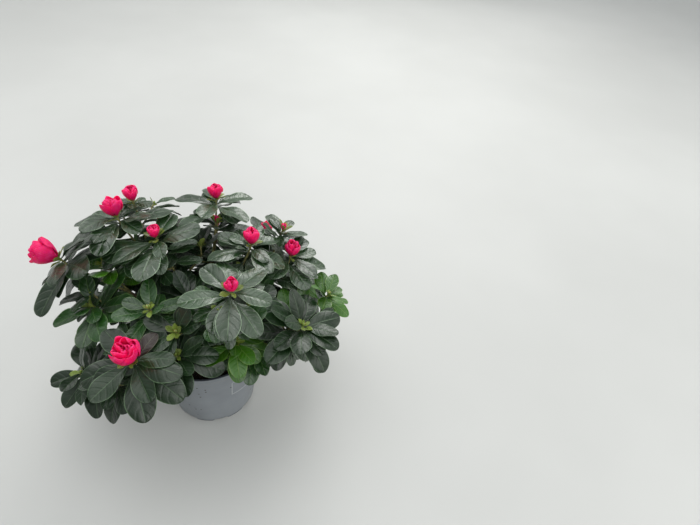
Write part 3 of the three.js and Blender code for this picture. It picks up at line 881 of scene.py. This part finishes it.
# the rows run closer together towards the tip, where the outline turns in
def leafRows():
    w = np.linspace(0, 1, leafLook["rows"])[:-1]
    bladeRows = blade["petiole"] + (1 - blade["petiole"]) * (1 - (1 - w) ** 1.5)
    return np.concatenate([[0, blade["petiole"] * 0.5], bladeRows])


# the upper skin, the under skin on fewer columns, one point at the tip, and a face over the foot
def leafFaces(rows, columns, under):
    def top(r, c):
        return r * columns + c

    edges = [0] + [rows * columns + k for k in range(len(under))] + [columns - 1]

    def low(r, k):
        if k in (0, len(edges) - 1):
            return top(r, edges[k])
        return rows * columns + r * len(under) + k - 1

    tip = rows * (columns + len(under))
    faces = []
    slots = []
    for r in range(rows - 1):
        faces += [(top(r, c), top(r, c + 1), top(r + 1, c + 1), top(r + 1, c)) for c in range(columns - 1)]
        slots += [0] * (columns - 1)
        faces += [(low(r, k), low(r + 1, k), low(r + 1, k + 1), low(r, k + 1)) for k in range(len(edges) - 1)]
        slots += [1] * (len(edges) - 1)
    last = rows - 1
    faces += [(top(last, c), top(last, c + 1), tip) for c in range(columns - 1)]
    slots += [0] * (columns - 1)
    faces += [(low(last, k), tip, low(last, k + 1)) for k in range(len(edges) - 1)]
    slots += [1] * (len(edges) - 1)
    foot = [top(0, c) for c in range(columns - 1, -1, -1)]
    faces.append(foot + [low(0, k) for k in range(1, len(edges) - 1)])
    slots.append(1)
    return faces, slots


def leafPoints(leaf, rows, columns, under, shade, puff, random):
    s, t = np.meshgrid(rows, columns, indexing="ij")
    along = np.clip((s - blade["petiole"]) / (1 - blade["petiole"]), 0, 1)
    out = np.abs(t)
    size = leaf.length / leafLook["usualLength"]
    # the same veins as the skin's, with the skin puffed up between them
    phase = along * mix(*leafLook["veins"], shade * shade * (3 - 2 * shade))
    phase = phase - out ** leafLook["veinCurve"] * leafLook["veinSlant"]
    phase = phase + leafLook["veinShift"] * (t > 0) + 0.25
    quilt = (0.5 - 0.5 * np.cos(2 * np.pi * phase)) ** 0.7 * (1 - out**3) * np.minimum(1, out / 0.14)
    camber = mix(*leafLook["camber"], random()) * size
    start = random()
    ripple = np.sin(2 * np.pi * (along * 1.6 + start + 0.37 * (t > 0))) * out**2.5
    # no two puffs are alike, and each falls and rises again on its way to the margin
    uneven = 0.7 + 0.3 * np.sin(2.4 * np.floor(phase) + 4 * out + 6 * start)
    lift = puff * mix(*leafLook["puffStray"], random()) * size * quilt * uneven
    lift = lift + camber * (1 - t * t) * np.sin(np.pi * along)
    lift = lift - leafLook["groove"] * size * np.exp(-((t / 0.11) ** 2)) + leafLook["ripple"] * size * ripple
    # flat where the blade begins
    lift = lift * np.minimum(1, along / 0.12)
    # the drawn leaf is a little rounder at its tip than the growth rule's
    rounder = (leafLook["tipFullness"] - blade["fullness"]) / blade["fullness"]
    wider = np.maximum(0.05, bladeHalf(s)) ** (rounder * np.clip((along - 0.6) / 0.3, 0, 1))
    face = leaf.frames(s)[1]
    blades = leaf.at(s, t * wider) + face * lift[..., None]
    keel = leafLook["thickness"] + leafLook["keel"] * size * (1 - along) ** 1.3 * (out < 0.05)
    below = (blades - face * keel[..., None])[:, under]
    ridge = blades[:, len(columns) // 2]
    tip = ridge[-1] + (ridge[-1] - ridge[-3]) * 0.3
    points = np.concatenate([blades.reshape(-1, 3), below.reshape(-1, 3), [tip]])
    uv = np.stack([s, 0.5 + 0.5 * t], -1)
    uv = np.concatenate([uv.reshape(-1, 2), uv[:, under].reshape(-1, 2), [[1, 0.5]]])
    return points, uv


def leafPieces(tone, leaves, materials, random):
    rows, columns, under = leafRows(), leafLook["columns"], leafLook["under"]
    puff = leafLook["quilt"][tone]
    if tone == "young":
        rows = rows[np.linspace(0, len(rows) - 1, 8).astype(int)]
    template, kinds = leafFaces(len(rows), len(columns), under)
    pieces = []
    for first in range(0, len(leaves), leafLook["mostLeaves"]):
        group = leaves[first : first + leafLook["mostLeaves"]]
        points, uvs, faces, slots, shades = [], [], [], [], []
        for k, leaf in enumerate(group):
            shade = random()
            p, uv = leafPoints(leaf, rows, columns, under, shade, puff, random)
            faces += [[v + k * len(p) for v in face] for face in template]
            slots += kinds
            points.append(p)
            uvs.append(uv)
            shades.append(np.full(len(p), shade))
        name = f"leaves_{tone}_{len(pieces) + 1}"
        pieces.append(meshObject(name, np.concatenate(points), faces, np.concatenate(uvs), slots,
                                 np.concatenate(shades), materials, leafLook["sharpFrom"]))
    return pieces


def leafTones(random):
    sprays = {tone: [] for tone in leafLook["tones"]}
    for shoot in shoots + sideShoots:
        others = leafLook["sideTones" if shoot["key"] == "side" else "otherTones"]
        tone = leafLook["toneOf"].get(shoot["key"]) or others[int(random() * len(others))]
        leaves = list(shoot["leaves"])
        if shoot["key"] == "front 1":
            bronze = leaves.pop(leafLook["bronzeLeaf"])
            bronze.length *= leafLook["bronzeLength"]
            sprays["bronze"].append(bronze)
        sprays[tone] += leaves
    return sprays


youngLook = {
    "leaves": {"twig": 5, "side": 3},
    "share": {"twig": 1, "side": 0.7},
    "tilt": (28, 58),
    "bloomTilt": 12,
    "length": (7, 15),
    "down": (0, 4),
    "sag": (8, 24),
    "fold": (4, 22),
    "roll": 0.5,
    "spinStray": 40,
}


# small upright leaves round each bud, and short bracts at the foot of each bloom
def youngLeaves(random):
    young = []
    for shoot in shoots + sideShoots:
        axis = shoot["axis"]
        kind = "side" if shoot["key"] == "side" else "twig"
        lean = youngLook["bloomTilt"] if shoot["bloom"] > whorl["opensFrom"] else 0
        for i in range(youngLook["leaves"][kind]):
            spin = i * whorl["golden"] + random() * youngLook["spinStray"]
            heading = swing(axis, mix(*youngLook["tilt"], random()) + lean, spin)
            length = mix(*youngLook["length"], random()) * youngLook["share"][kind]
            root = shoot["tip"] - axis * mix(*youngLook["down"], random())
            sag, fold = mix(*youngLook["sag"], random()), mix(*youngLook["fold"], random())
            young.append(Leaf(root, heading, axis, sag, length, fold, youngLook["roll"]))
    return young


dress = seeded(11)
leafObjects = []
for tone, leaves in leafTones(dress).items():
    leaves = youngLeaves(dress) if tone == "young" else leaves
    materials = [leafMaterial(tone, "upper"), leafMaterial(tone, "under")]
    if leaves:
        leafObjects += leafPieces(tone, leaves, materials, dress)
print("leaves made:", len(leafObjects), "pieces")


bloomLook = {
    "rows": 11,
    "columns": 13,
    "budRows": 6,
    "budColumns": 5,
    "opensFrom": 8,
    "sheet": 0.35,
    # half-width of a petal ring, as shares of the bloom's height; the last one is the lip's own
    "heights": [0, 0.12, 0.28, 0.45, 0.62, 0.78, 0.9, 1],
    "widths": [0.04, 0.17, 0.3, 0.4, 0.45, 0.455, 0.43],
    "lips": (0.16, 0.47),
    "lipStray": (0.5, 1.1),
    "overlap": (1.15, 1.4),
    "tallStray": (0.86, 1.03),
    "turnStray": (-0.35, 0.35),
    # for a bloom above a size, its rings from the outside: how many petals, how wide, tall and open
    "rings": [
        (22, [(4, 1.0, 0.95, 0.9), (3, 0.76, 1.0, 0.7), (3, 0.48, 0.98, 0.4), (2, 0.27, 0.92, 0.1)]),
        (12, [(3, 0.94, 1.0, 0.65), (3, 0.66, 1.0, 0.5), (2, 0.38, 0.97, 0.3)]),
        (0, [(3, 0.62, 1.0, 0.1), (2, 0.4, 0.97, 0.05)]),
    ],
    # base colour, a paler one for the random mottle and the painted highlight on the lips, and a darker one
    # for the painted shade towards the petal foot
    "colours": ("f8065c", "ff4f92", "c4004c"),
    "budColours": ("7f8c40", "c4c088", "566a2a"),
}


def petalRings(size):
    return next(rings for above, rings in bloomLook["rings"] if size > above)


# a petal overlaps its neighbours, hollow like a spoon with a keel, and its ruffled lip turns in or out
def petalPoints(shoot, ring, k, random, rows, columns):
    count, wide, tall, mouth = ring
    size, axis = shoot["bloom"], shoot["bloomAxis"]
    right, ahead = squareTo(axis)
    h, a = np.meshgrid(np.linspace(0, 1, rows), np.linspace(-1, 1, columns), indexing="ij")
    half = math.pi / count * mix(*bloomLook["overlap"], random())
    # narrow at the foot, and drawn in again at the lip
    lobe = np.minimum(1, 0.35 + 1.3 * h) * (1 - 0.34 * h**5)
    tall = tall * mix(*bloomLook["tallStray"], random())
    turn = 2 * math.pi * k / count + wide * 2.1 + mix(*bloomLook["turnStray"], random())
    start, frill = random() * 6.28, min(1, mouth + 0.25)
    lip = mix(*bloomLook["lips"], mouth * mix(*bloomLook["lipStray"], random()))
    # one side of a petal lies over its neighbour, the lip waves, and a keel runs up the middle
    radius = np.interp(h, bloomLook["heights"], bloomLook["widths"] + [lip]) * wide
    radius = radius + 0.04 * a * np.minimum(1, 2 * h) + 0.05 * frill * h**5 * np.sin(4.4 * a + start)
    radius = radius + 0.035 * (1 - np.abs(a)) ** 2 * h**2 - 0.03 * a * a * h
    # the middle stands highest, and an open petal's lip turns down
    rise = tall * (1.02 * h - 0.02) - 0.2 * tall * a * a * h**2.5 * (1 + 0.3 * np.sin(start))
    rise = rise + 0.028 * frill * h**6 * np.cos(5.5 * a + 2 * start) - 0.09 * mouth * wide * h**8
    radius = size * np.maximum(radius, 0.02)
    angle = turn + a * half * lobe
    points = shoot["tip"] + axis * (size * rise)[..., None]
    points = points + right * (radius * np.cos(angle))[..., None]
    points = points + ahead * (radius * np.sin(angle))[..., None]
    return points.reshape(-1, 3), np.stack([h, 0.5 + 0.5 * a], -1).reshape(-1, 2)


def petalMaterial(name, colours):
    base, pale, dark = [rgb(c) for c in colours]
    m = Shader(name)
    where = m.parts(m.place("UV"))
    mottle = m.noise(160.0)
    # painted shade: each petal is darker towards its foot, deep inside the bloom
    colour = m.blend(m.ramp(where[0], 0.0, 0.5), dark, base)
    colour = m.blend(m.ramp(mottle, 0.45, 0.75, 0.0, 0.35), colour, pale)
    # painted highlight: the lip of each petal turns paler
    colour = m.blend(m.ramp(where[0], 0.9, 1.0, 0.0, 0.3), colour, pale)
    streak = m.plus(m.math("SINE", m.times(where[1], 75.0)), m.times(mottle, 2.0))
    return m.finish(colour, 0.5, streak, 0.0002, 0.3, Subsurface_Weight=0.55, Subsurface_Scale=0.004,
                    Subsurface_Radius=(1.0, 0.25, 0.35), Specular_IOR_Level=0.25)


# what the modifiers make of an object, as a plain mesh of its own
def modelled(source, name):
    evaluated = source.evaluated_get(bpy.context.evaluated_depsgraph_get())
    mesh = bpy.data.meshes.new_from_object(evaluated)
    mesh.name = name
    bpy.data.objects.remove(source)
    made = bpy.data.objects.new(name, mesh)
    bpy.context.scene.collection.objects.link(made)
    return made


def bloomPiece(name, group, material, random, rows, columns):
    points, faces, uvs = [], [], []
    for shoot in group:
        for ring in petalRings(shoot["bloom"]):
            for k in range(ring[0]):
                p, uv = petalPoints(shoot, ring, k, random, rows, columns)
                first = rows * columns * len(points)
                for r in range(rows - 1):
                    for c in range(columns - 1):
                        v = first + r * columns + c
                        faces.append((v, v + columns, v + columns + 1, v + 1))
                points.append(p)
                uvs.append(uv)
    sheets = meshObject("petal sheets", np.concatenate(points), faces, np.concatenate(uvs),
                        materials=[material])
    wall = sheets.modifiers.new("petal thickness", "SOLIDIFY")
    wall.thickness = bloomLook["sheet"] * mm
    wall.offset = 0
    return modelled(sheets, name)


crimson = petalMaterial("petal crimson", bloomLook["colours"])
budGreen = petalMaterial("bud green", bloomLook["budColours"])
opening = [shoot for shoot in shoots if shoot["bloom"] > bloomLook["opensFrom"]]
closed = [shoot for shoot in shoots + sideShoots if shoot["bloom"] <= bloomLook["opensFrom"]]
blossom = bloomPiece("blossom", opening, crimson, dress, bloomLook["rows"], bloomLook["columns"])
leafBuds = bloomPiece("leaf_buds", closed, budGreen, dress, bloomLook["budRows"], bloomLook["budColumns"])
print("blooms made:", len(opening), "blooms and", len(closed), "buds")


class Geometry(NodeTree):
    # a Geometry Nodes tree with named inputs, given as name and kind
    family = "GeometryNode"

    def __init__(self, name, asked):
        self.tree = bpy.data.node_groups.new(name, "GeometryNodeTree")
        sockets = self.tree.interface
        sockets.new_socket("Geometry", in_out="OUTPUT", socket_type="NodeSocketGeometry")
        self.asked = {name: sockets.new_socket(name, in_out="INPUT", socket_type="NodeSocket" + kind)
                      for name, kind in {"Geometry": "Geometry", **asked}.items()}
        self.given = self.tree.nodes.new("NodeGroupInput").outputs

    # realized, with its material set, and then out
    def end(self, geometry, material):
        real = self.make("RealizeInstances", {"Geometry": geometry})
        done = self.make("SetMaterial", {"Geometry": real, "Material": material})
        self.node("NodeGroupOutput", {0: done})
        return self

    def applyTo(self, target, values):
        modifier = target.modifiers.new(self.tree.name, "NODES")
        modifier.node_group = self.tree
        for name, value in values.items():
            modifier[self.asked[name].identifier] = value


# a round skin along each path, roughened by a noise that runs along the limb
def barkTree(material):
    g = Geometry("bark over a path", {"Sides": "Int", "Step": "Float", "Relief": "Float", "Grain": "Float"})
    length = {"Curve": g.given["Geometry"], "Length": g.given["Step"]}
    path = g.make("ResampleCurve", length, mode="LENGTH")
    ring = g.make("CurvePrimitiveCircle", {"Resolution": g.given["Sides"], "Radius": 1.0})
    along = {"Curve": path, "Profile Curve": ring, "Scale": g.make("InputRadius"), "Fill Caps": True}
    skin = g.make("CurveToMesh", along)
    place = g.make("InputPosition")
    place = g.make("ShaderNodeVectorMath", {0: place, 1: (1.0, 1.0, 0.3)}, operation="MULTIPLY")
    rough = g.make("ShaderNodeTexNoise", {"Vector": place, "Scale": g.given["Grain"], "Detail": 3.0})
    lift = g.make("ShaderNodeMath", {0: rough, 1: 0.55}, operation="SUBTRACT")
    lift = g.make("ShaderNodeMath", {0: lift, 1: g.given["Relief"]}, operation="MULTIPLY")
    normal = g.make("InputNormal")
    offset = g.make("ShaderNodeVectorMath", {0: normal, "Scale": lift}, operation="SCALE")
    moved = g.make("SetPosition", {"Geometry": skin, "Offset": offset})
    return g.end(g.make("SetShadeSmooth", {"Geometry": moved}), material)


def limbPiece(name, paths, tree, values):
    curve = bpy.data.curves.new(name, "CURVE")
    curve.dimensions = "3D"
    for path, radii, closed in paths:
        line = curve.splines.new("POLY")
        line.points.add(len(path) - 1)
        line.use_cyclic_u = closed
        for point, place, radius in zip(line.points, path, radii):
            point.co = [c * mm for c in place] + [1]
            point.radius = radius * mm
    source = bpy.data.objects.new(name, curve)
    bpy.context.scene.collection.objects.link(source)
    tree.applyTo(source, values)
    return modelled(source, name)


def barkMaterial(name, dark, pale, grain, bump):
    m = Shader(name)
    coarse = m.noise(grain, 4.0, (1, 1, 0.3))
    fine = m.noise(grain * 4, 3.0)
    colour = m.blend(m.ramp(coarse, 0.35, 0.68), rgb(dark), rgb(pale))
    colour = m.blend(m.ramp(fine, 0.5, 0.8, 0.0, 0.4), colour, rgb(dark))
    height = m.plus(coarse, m.times(fine, 0.4))
    return m.finish(colour, m.ramp(fine, 0.3, 0.7, 0.62, 0.82), height, bump, 0.8)


limbLook = {
    "rooted": 1.5,
    "inStem": 3,
    "boughSteps": 14,
    "twigSteps": 10,
    "sideRadii": (1.15, 0.8),
    "bark": {"Sides": 18, "Step": 0.0014, "Relief": 0.0011, "Grain": 520.0},
    "skin": {"Sides": 8, "Step": 0.003, "Relief": 0.0004, "Grain": 600.0},
}


# stem and boughs reach a little into what carries them, so that the bark closes the joints
def limbPaths():
    woody, green = [], []
    stemLine = [stemPoint(-limbLook["rooted"]), *stemPath()]
    woody.append((stemLine, [stem["radii"][0]] + stem["radii"], False))
    for bough in boughs:
        start, elbow, end = bough["bends"]
        path = bend(start, elbow, end, limbLook["boughSteps"])
        path = np.concatenate([[start - bough["out"] * limbLook["inStem"]], path, bough["stemlet"]])
        woody.append((path, np.linspace(limb["boughRadius"], limb["boughTip"], len(path)), False))
    for shoot in shoots + sideShoots:
        path, radii = bend(*shoot["bends"], limbLook["twigSteps"]), limbLook["sideRadii"]
        if shoot["key"] != "side":
            path, radii = np.concatenate([path, [shoot["tip"]]]), (limb["twigRadius"], limb["twigTip"])
        green.append((path, np.linspace(*radii, len(path)), False))
    return woody, green


woody, green = limbPaths()
barkGrey = barkMaterial("bark", "4a3c2f", "8a765c", 420.0, 0.0006)
twigGreen = barkMaterial("twig skin", "5c5a34", "8b8a52", 520.0, 0.0003)
trunk = limbPiece("trunk_and_boughs", woody, barkTree(barkGrey), limbLook["bark"])
twigs = limbPiece("twigs", green, barkTree(twigGreen), limbLook["skin"])
print("limbs made:", len(woody), "woody,", len(green), "green")


potLook = {
    "outside": ("7c8186", "8c9196", 0.42),
    "lip": ("454951", "565b63", 0.4),
    # the inside is the lip's dark plastic drawn near-black, painted shade within the pot
    "inside": ("15171a", "222529", 0.5),
    # the frame is moulded in the wall's plastic; its paler grey is a painted highlight along the raised ridge
    "frame": ("b4b8bb", "c0c3c5", 0.4),
    "paintedFootShadow": "44474c",
    "speck": "2b211a",
    "specks": 150.0,
    "lowest": 3.2,
    # a raised blank frame under the rim, at its place on the wall
    "bearings": (-51, -31),
    "heights": (59, 87),
    "frameRadius": 0.45,
    "frameSteps": 12,
    "frameSkin": {"Sides": 8, "Step": 0.0012, "Relief": 0.0, "Grain": 100.0},
    "sharpFrom": 40,
}


# clouded and a little scuffed, and outside with specks of peat, most of them near the top, and a painted
# contact shadow along the foot
def potMaterial(name, colour, pale, roughness, specks=False):
    m = Shader(name)
    cloud = m.noise(14.0)
    grain = m.noise(1500.0, 2.0)
    scuff = m.noise(60.0, 5.0, (1, 1, 0.25))
    shown = m.blend(m.ramp(cloud, 0.35, 0.7), rgb(colour), rgb(pale))
    shown = m.blend(m.ramp(scuff, 0.56, 0.75, 0.0, 0.25), shown, rgb(pale))
    if specks:
        high = m.parts(m.place())[2]
        # painted shadow: the wall turns darker within its lowest few millimetres, where it meets the floor
        shown = m.blend(m.ramp(high, 0.004, 0.0005, 0.0, 0.6), shown, rgb(potLook["paintedFootShadow"]))
        spots = m.node("TexVoronoi", {"Vector": m.place(), "Scale": potLook["specks"], "Randomness": 1.0})
        spot = m.ramp(spots.outputs["Distance"], 0.2, 0.1)
        dealt = m.node("SeparateColor", {0: spots.outputs["Color"]}).outputs[0]
        some = m.math("GREATER_THAN", dealt, m.ramp(high, 0.03, 0.075, 0.86, 0.62))
        shown = m.blend(m.times(spot, some), shown, rgb(potLook["speck"]))
    height = m.plus(m.times(grain, 0.3), m.times(scuff, 0.3))
    return m.finish(shown, m.ramp(scuff, 0.3, 0.7, roughness, roughness + 0.12), height, 0.0002, 0.25)


# the wall is a lathe whose foot lifts in each notch: radius, height, whether it lifts, and material
def potPiece(materials):
    height, wall, floor = pot["height"], pot["wall"], pot["floor"]
    outer, inner = pot["rimRadius"], pot["rimRadius"] - pot["lipWidth"]
    inside = pot["footRadius"] - pot["notchDepth"]
    lip = height - pot["lipHeight"]
    profile = [(0, 0, 0, 0), (inside, 0, 0, 0), (inside, 0, 1, 0), (pot["footRadius"], 0, 1, 0)]
    profile += [(potRadiusAt(z), z, 0, 0) for z in (potLook["lowest"], 6, 20, 40, 60, 80, 95, lip - 1.2)]
    profile += [(outer - 0.35, lip, 0, 0), (outer - 0.1, height - 1.2, 0, 0)]
    profile += [(outer - 0.5, height - 0.25, 0, 1), (outer - 1.1, height, 0, 1)]
    profile += [(inner + 0.8, height, 0, 1), (inner, height - 0.7, 0, 1), (inner, lip, 0, 2)]
    profile += [(potRadiusAt(z) - wall, z, 0, 2) for z in (lip - 2, 80, floor)] + [(0, floor, 0, 2)]
    a = anglesRound(pot["sides"])
    every = 2 * math.pi / pot["notches"]
    fromMiddle = np.abs((a % every) - every / 2)
    notch = (fromMiddle < pot["notchWidth"] / 2 / pot["footRadius"]).astype(float)
    notch = (np.roll(notch, 1) + notch * 2 + np.roll(notch, -1)) / 4
    points = [ringPoints(a, r, z + lifts * pot["notchHeight"] * notch) for r, z, lifts, _ in profile]
    slots = np.minimum([row[3] for row in profile[1:]], [row[3] for row in profile[:-1]])
    faces = ringFaces(len(profile), pot["sides"], upward=False)
    made = meshObject("pot_wall", np.concatenate(points), faces, slots=np.repeat(slots, pot["sides"]),
                      materials=materials)
    closeShell(made, dropThin=True)
    made.data.set_sharp_from_angle(angle=math.radians(potLook["sharpFrom"]))
    return made


def framePath():
    left, right = potLook["bearings"]
    low, high = potLook["heights"]
    corners = [(left, low), (right, low), (right, high), (left, high)]
    path = []
    for (b0, z0), (b1, z1) in zip(corners, corners[1:] + corners[:1]):
        for share in np.linspace(0, 1, potLook["frameSteps"])[:-1]:
            b, z = math.radians(mix(b0, b1, share)), mix(z0, z1, share)
            r = potRadiusAt(z) - 0.1
            path.append(np.array([r * math.cos(b), r * math.sin(b), z]))
    return path


potWall = potPiece([potMaterial("pot grey", *potLook["outside"], specks=True),
                    potMaterial("pot lip", *potLook["lip"]), potMaterial("pot inside", *potLook["inside"])])
frameLine = framePath()
potLine = limbPiece("pot_frame", [(frameLine, [potLook["frameRadius"]] * len(frameLine), True)],
                    barkTree(potMaterial("pot frame", *potLook["frame"])), potLook["frameSkin"])
print("pot made")


# crumbs of peat scattered over the peat's rough top
def crumbTree(material):
    g = Geometry("peat crumbs", {"Density": "Float", "Size": "Float", "Seed": "Int"})
    facing = g.node("ShaderNodeSeparateXYZ", {0: g.make("InputNormal")}).outputs[2]
    upward = g.make("ShaderNodeMath", {0: facing, 1: 0.6}, operation="GREATER_THAN")
    rule = {"Mesh": g.given["Geometry"], "Density": g.given["Density"], "Seed": g.given["Seed"],
            "Selection": upward}
    spread = g.make("DistributePointsOnFaces", rule)
    crumb = g.make("MeshIcoSphere", {"Radius": g.given["Size"], "Subdivisions": 1})
    sizes = {0: (0.35, 0.35, 0.3), 1: (1.3, 1.1, 0.8)}
    size = g.make("FunctionNodeRandomValue", sizes, data_type="FLOAT_VECTOR")
    turn = g.make("FunctionNodeRandomValue", {1: (6.28, 6.28, 6.28)}, data_type="FLOAT_VECTOR")
    laid = {"Points": spread, "Instance": crumb, "Rotation": turn, "Scale": size}
    dealt = g.make("InstanceOnPoints", laid)
    both = g.node("JoinGeometry", {0: g.given["Geometry"]})
    g.join(both.inputs[0], dealt)
    return g.end(both.outputs[0], material)


def peatPiece(material):
    edge = potRadiusAt(peat["top"] - 3) - pot["wall"] - 2 * clearance
    a = anglesRound(peat["sides"])
    points = []
    for r in np.linspace(0, edge, peat["rings"]):
        x, y = r * np.cos(a), r * np.sin(a)
        lumps = 0.9 * np.sin(0.31 * x + 1.3) * np.cos(0.27 * y) + 0.6 * np.sin(0.9 * x + 0.5 * y)
        z = peat["top"] - peat["under"] - peat["dip"] * (r / edge) ** 4 + lumps * (r > 0)
        points.append(ringPoints(a, r, z))
    foot = pot["floor"] + clearance
    points.append(ringPoints(a, potRadiusAt(foot) - pot["wall"] - 2 * clearance, foot))
    points.append(ringPoints(a, 0, foot))
    faces = ringFaces(len(points), peat["sides"])
    source = meshObject("peat source", np.concatenate(points), faces, materials=[material])
    closeShell(source)
    values = {"Density": peat["crumbs"] / mm**2, "Size": peat["crumbSize"] * mm, "Seed": peat["seed"]}
    crumbTree(material).applyTo(source, values)
    return modelled(source, "peat_surface")


peatTop = peatPiece(barkMaterial("peat", "1c1410", "3d2c20", 300.0, 0.0008))
print("peat made")

for piece in leafObjects + [blossom, leafBuds, trunk, twigs, potWall, potLine, peatTop]:
    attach(piece, "root")
for piece in leafObjects + [blossom, leafBuds]:
    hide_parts(*massNodes)
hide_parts(*massNodes)
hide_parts("main_stem", *boughNodes)
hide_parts("pot")
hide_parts("peat")


# the floor runs out flat and then sweeps up all round, so that no view finds an edge
floorLook = {"flat": 2.2, "out": 4.2, "up": 2.6, "sides": 64, "bendRows": 12, "colours": ("b9bab7", "c2c3c0")}


def floorPiece():
    m = Shader("pale floor")
    low, high = [rgb(colour) for colour in floorLook["colours"]]
    colour = m.blend(m.ramp(m.noise(1.2, 4.0), 0.3, 0.7), low, high)
    m.finish(colour, 0.62, m.noise(240.0), 0.0002, 0.15)
    flat, out, up = floorLook["flat"], floorLook["out"], floorLook["up"]
    profile = [(0, 0), (0.5, 0), (1.2, 0)]
    for turn in np.linspace(0, math.pi / 2, floorLook["bendRows"]):
        profile.append((flat + (out - flat) * math.sin(turn), up * (1 - math.cos(turn))))
    a = anglesRound(floorLook["sides"])
    points = np.concatenate([ringPoints(a, r, z) for r, z in profile]) / mm
    meshObject("floor", points, ringFaces(len(profile), len(a)), materials=[m.material])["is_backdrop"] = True


floorPiece()

# soft light from wide panels: overhead, behind for the sheen on the leaves, in front and at both sides
lights = {
    "overhead": {"at": (-0.1, 0.0, 2.2), "size": 1.6, "power": 13},
    "behind": {"at": (0.3, 1.7, 1.5), "size": 1.3, "power": 26},
    "front": {"at": (0.9, -1.5, 1.5), "size": 1.6, "power": 17},
    "left": {"at": (-1.6, 0.8, 1.3), "size": 1.4, "power": 10},
    "right": {"at": (1.9, 0.3, 0.8), "size": 1.4, "power": 9},
}
lampColour = (1.0, 0.99, 0.97)
lampAim = np.array([0, 0, 0.12])
sky = {"colour": (0.86, 0.9, 0.95, 1), "strength": 0.65}


# the axes are where its own x, y and z point
def placed(name, data, at, axes):
    made = bpy.data.objects.new(name, data)
    bpy.context.scene.collection.objects.link(made)
    made.matrix_world = Matrix.Translation(at) @ Matrix(np.stack(axes, 1).tolist()).to_4x4()
    return made


for name, light in lights.items():
    lamp = bpy.data.lights.new(name, "AREA")
    lamp.size = light["size"]
    lamp.energy = light["power"]
    lamp.color = lampColour
    away = unit(np.array(light["at"]) - lampAim)
    side = unit(np.cross([0, 1.0, 0], away))
    placed(name, lamp, light["at"], [side, np.cross(away, side), away])

world = bpy.data.worlds.new("pale room")
world.use_nodes = True
background = world.node_tree.nodes["Background"].inputs
background["Color"].default_value = sky["colour"]
background["Strength"].default_value = sky["strength"]
bpy.context.scene.world = world
bpy.context.scene.view_settings.view_transform = "Standard"

# the photograph's view: its height and distance, looking down, with the frame turned a little
view = {"at": (0.164, -0.409, 0.61), "down": 41.5, "roll": 5.7, "focal": 526, "frameWidth": 700, "sensor": 36}


def placeCamera():
    down, roll = math.radians(view["down"]), math.radians(view["roll"])
    forward = np.array([0, math.cos(down), -math.sin(down)])
    up = np.array([0, math.sin(down), math.cos(down)])
    right = np.array([1.0, 0, 0])
    turned = math.cos(roll) * right + math.sin(roll) * up
    raised = math.cos(roll) * up - math.sin(roll) * right
    lens = bpy.data.cameras.new("photo view")
    lens.sensor_width = view["sensor"]
    lens.lens = view["focal"] / view["frameWidth"] * lens.sensor_width
    bpy.context.scene.camera = placed("photo view", lens, view["at"], [turned, raised, -forward])


placeCamera()

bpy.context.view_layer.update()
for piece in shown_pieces():
    print(piece.name, "faces:", len(piece.data.polygons))
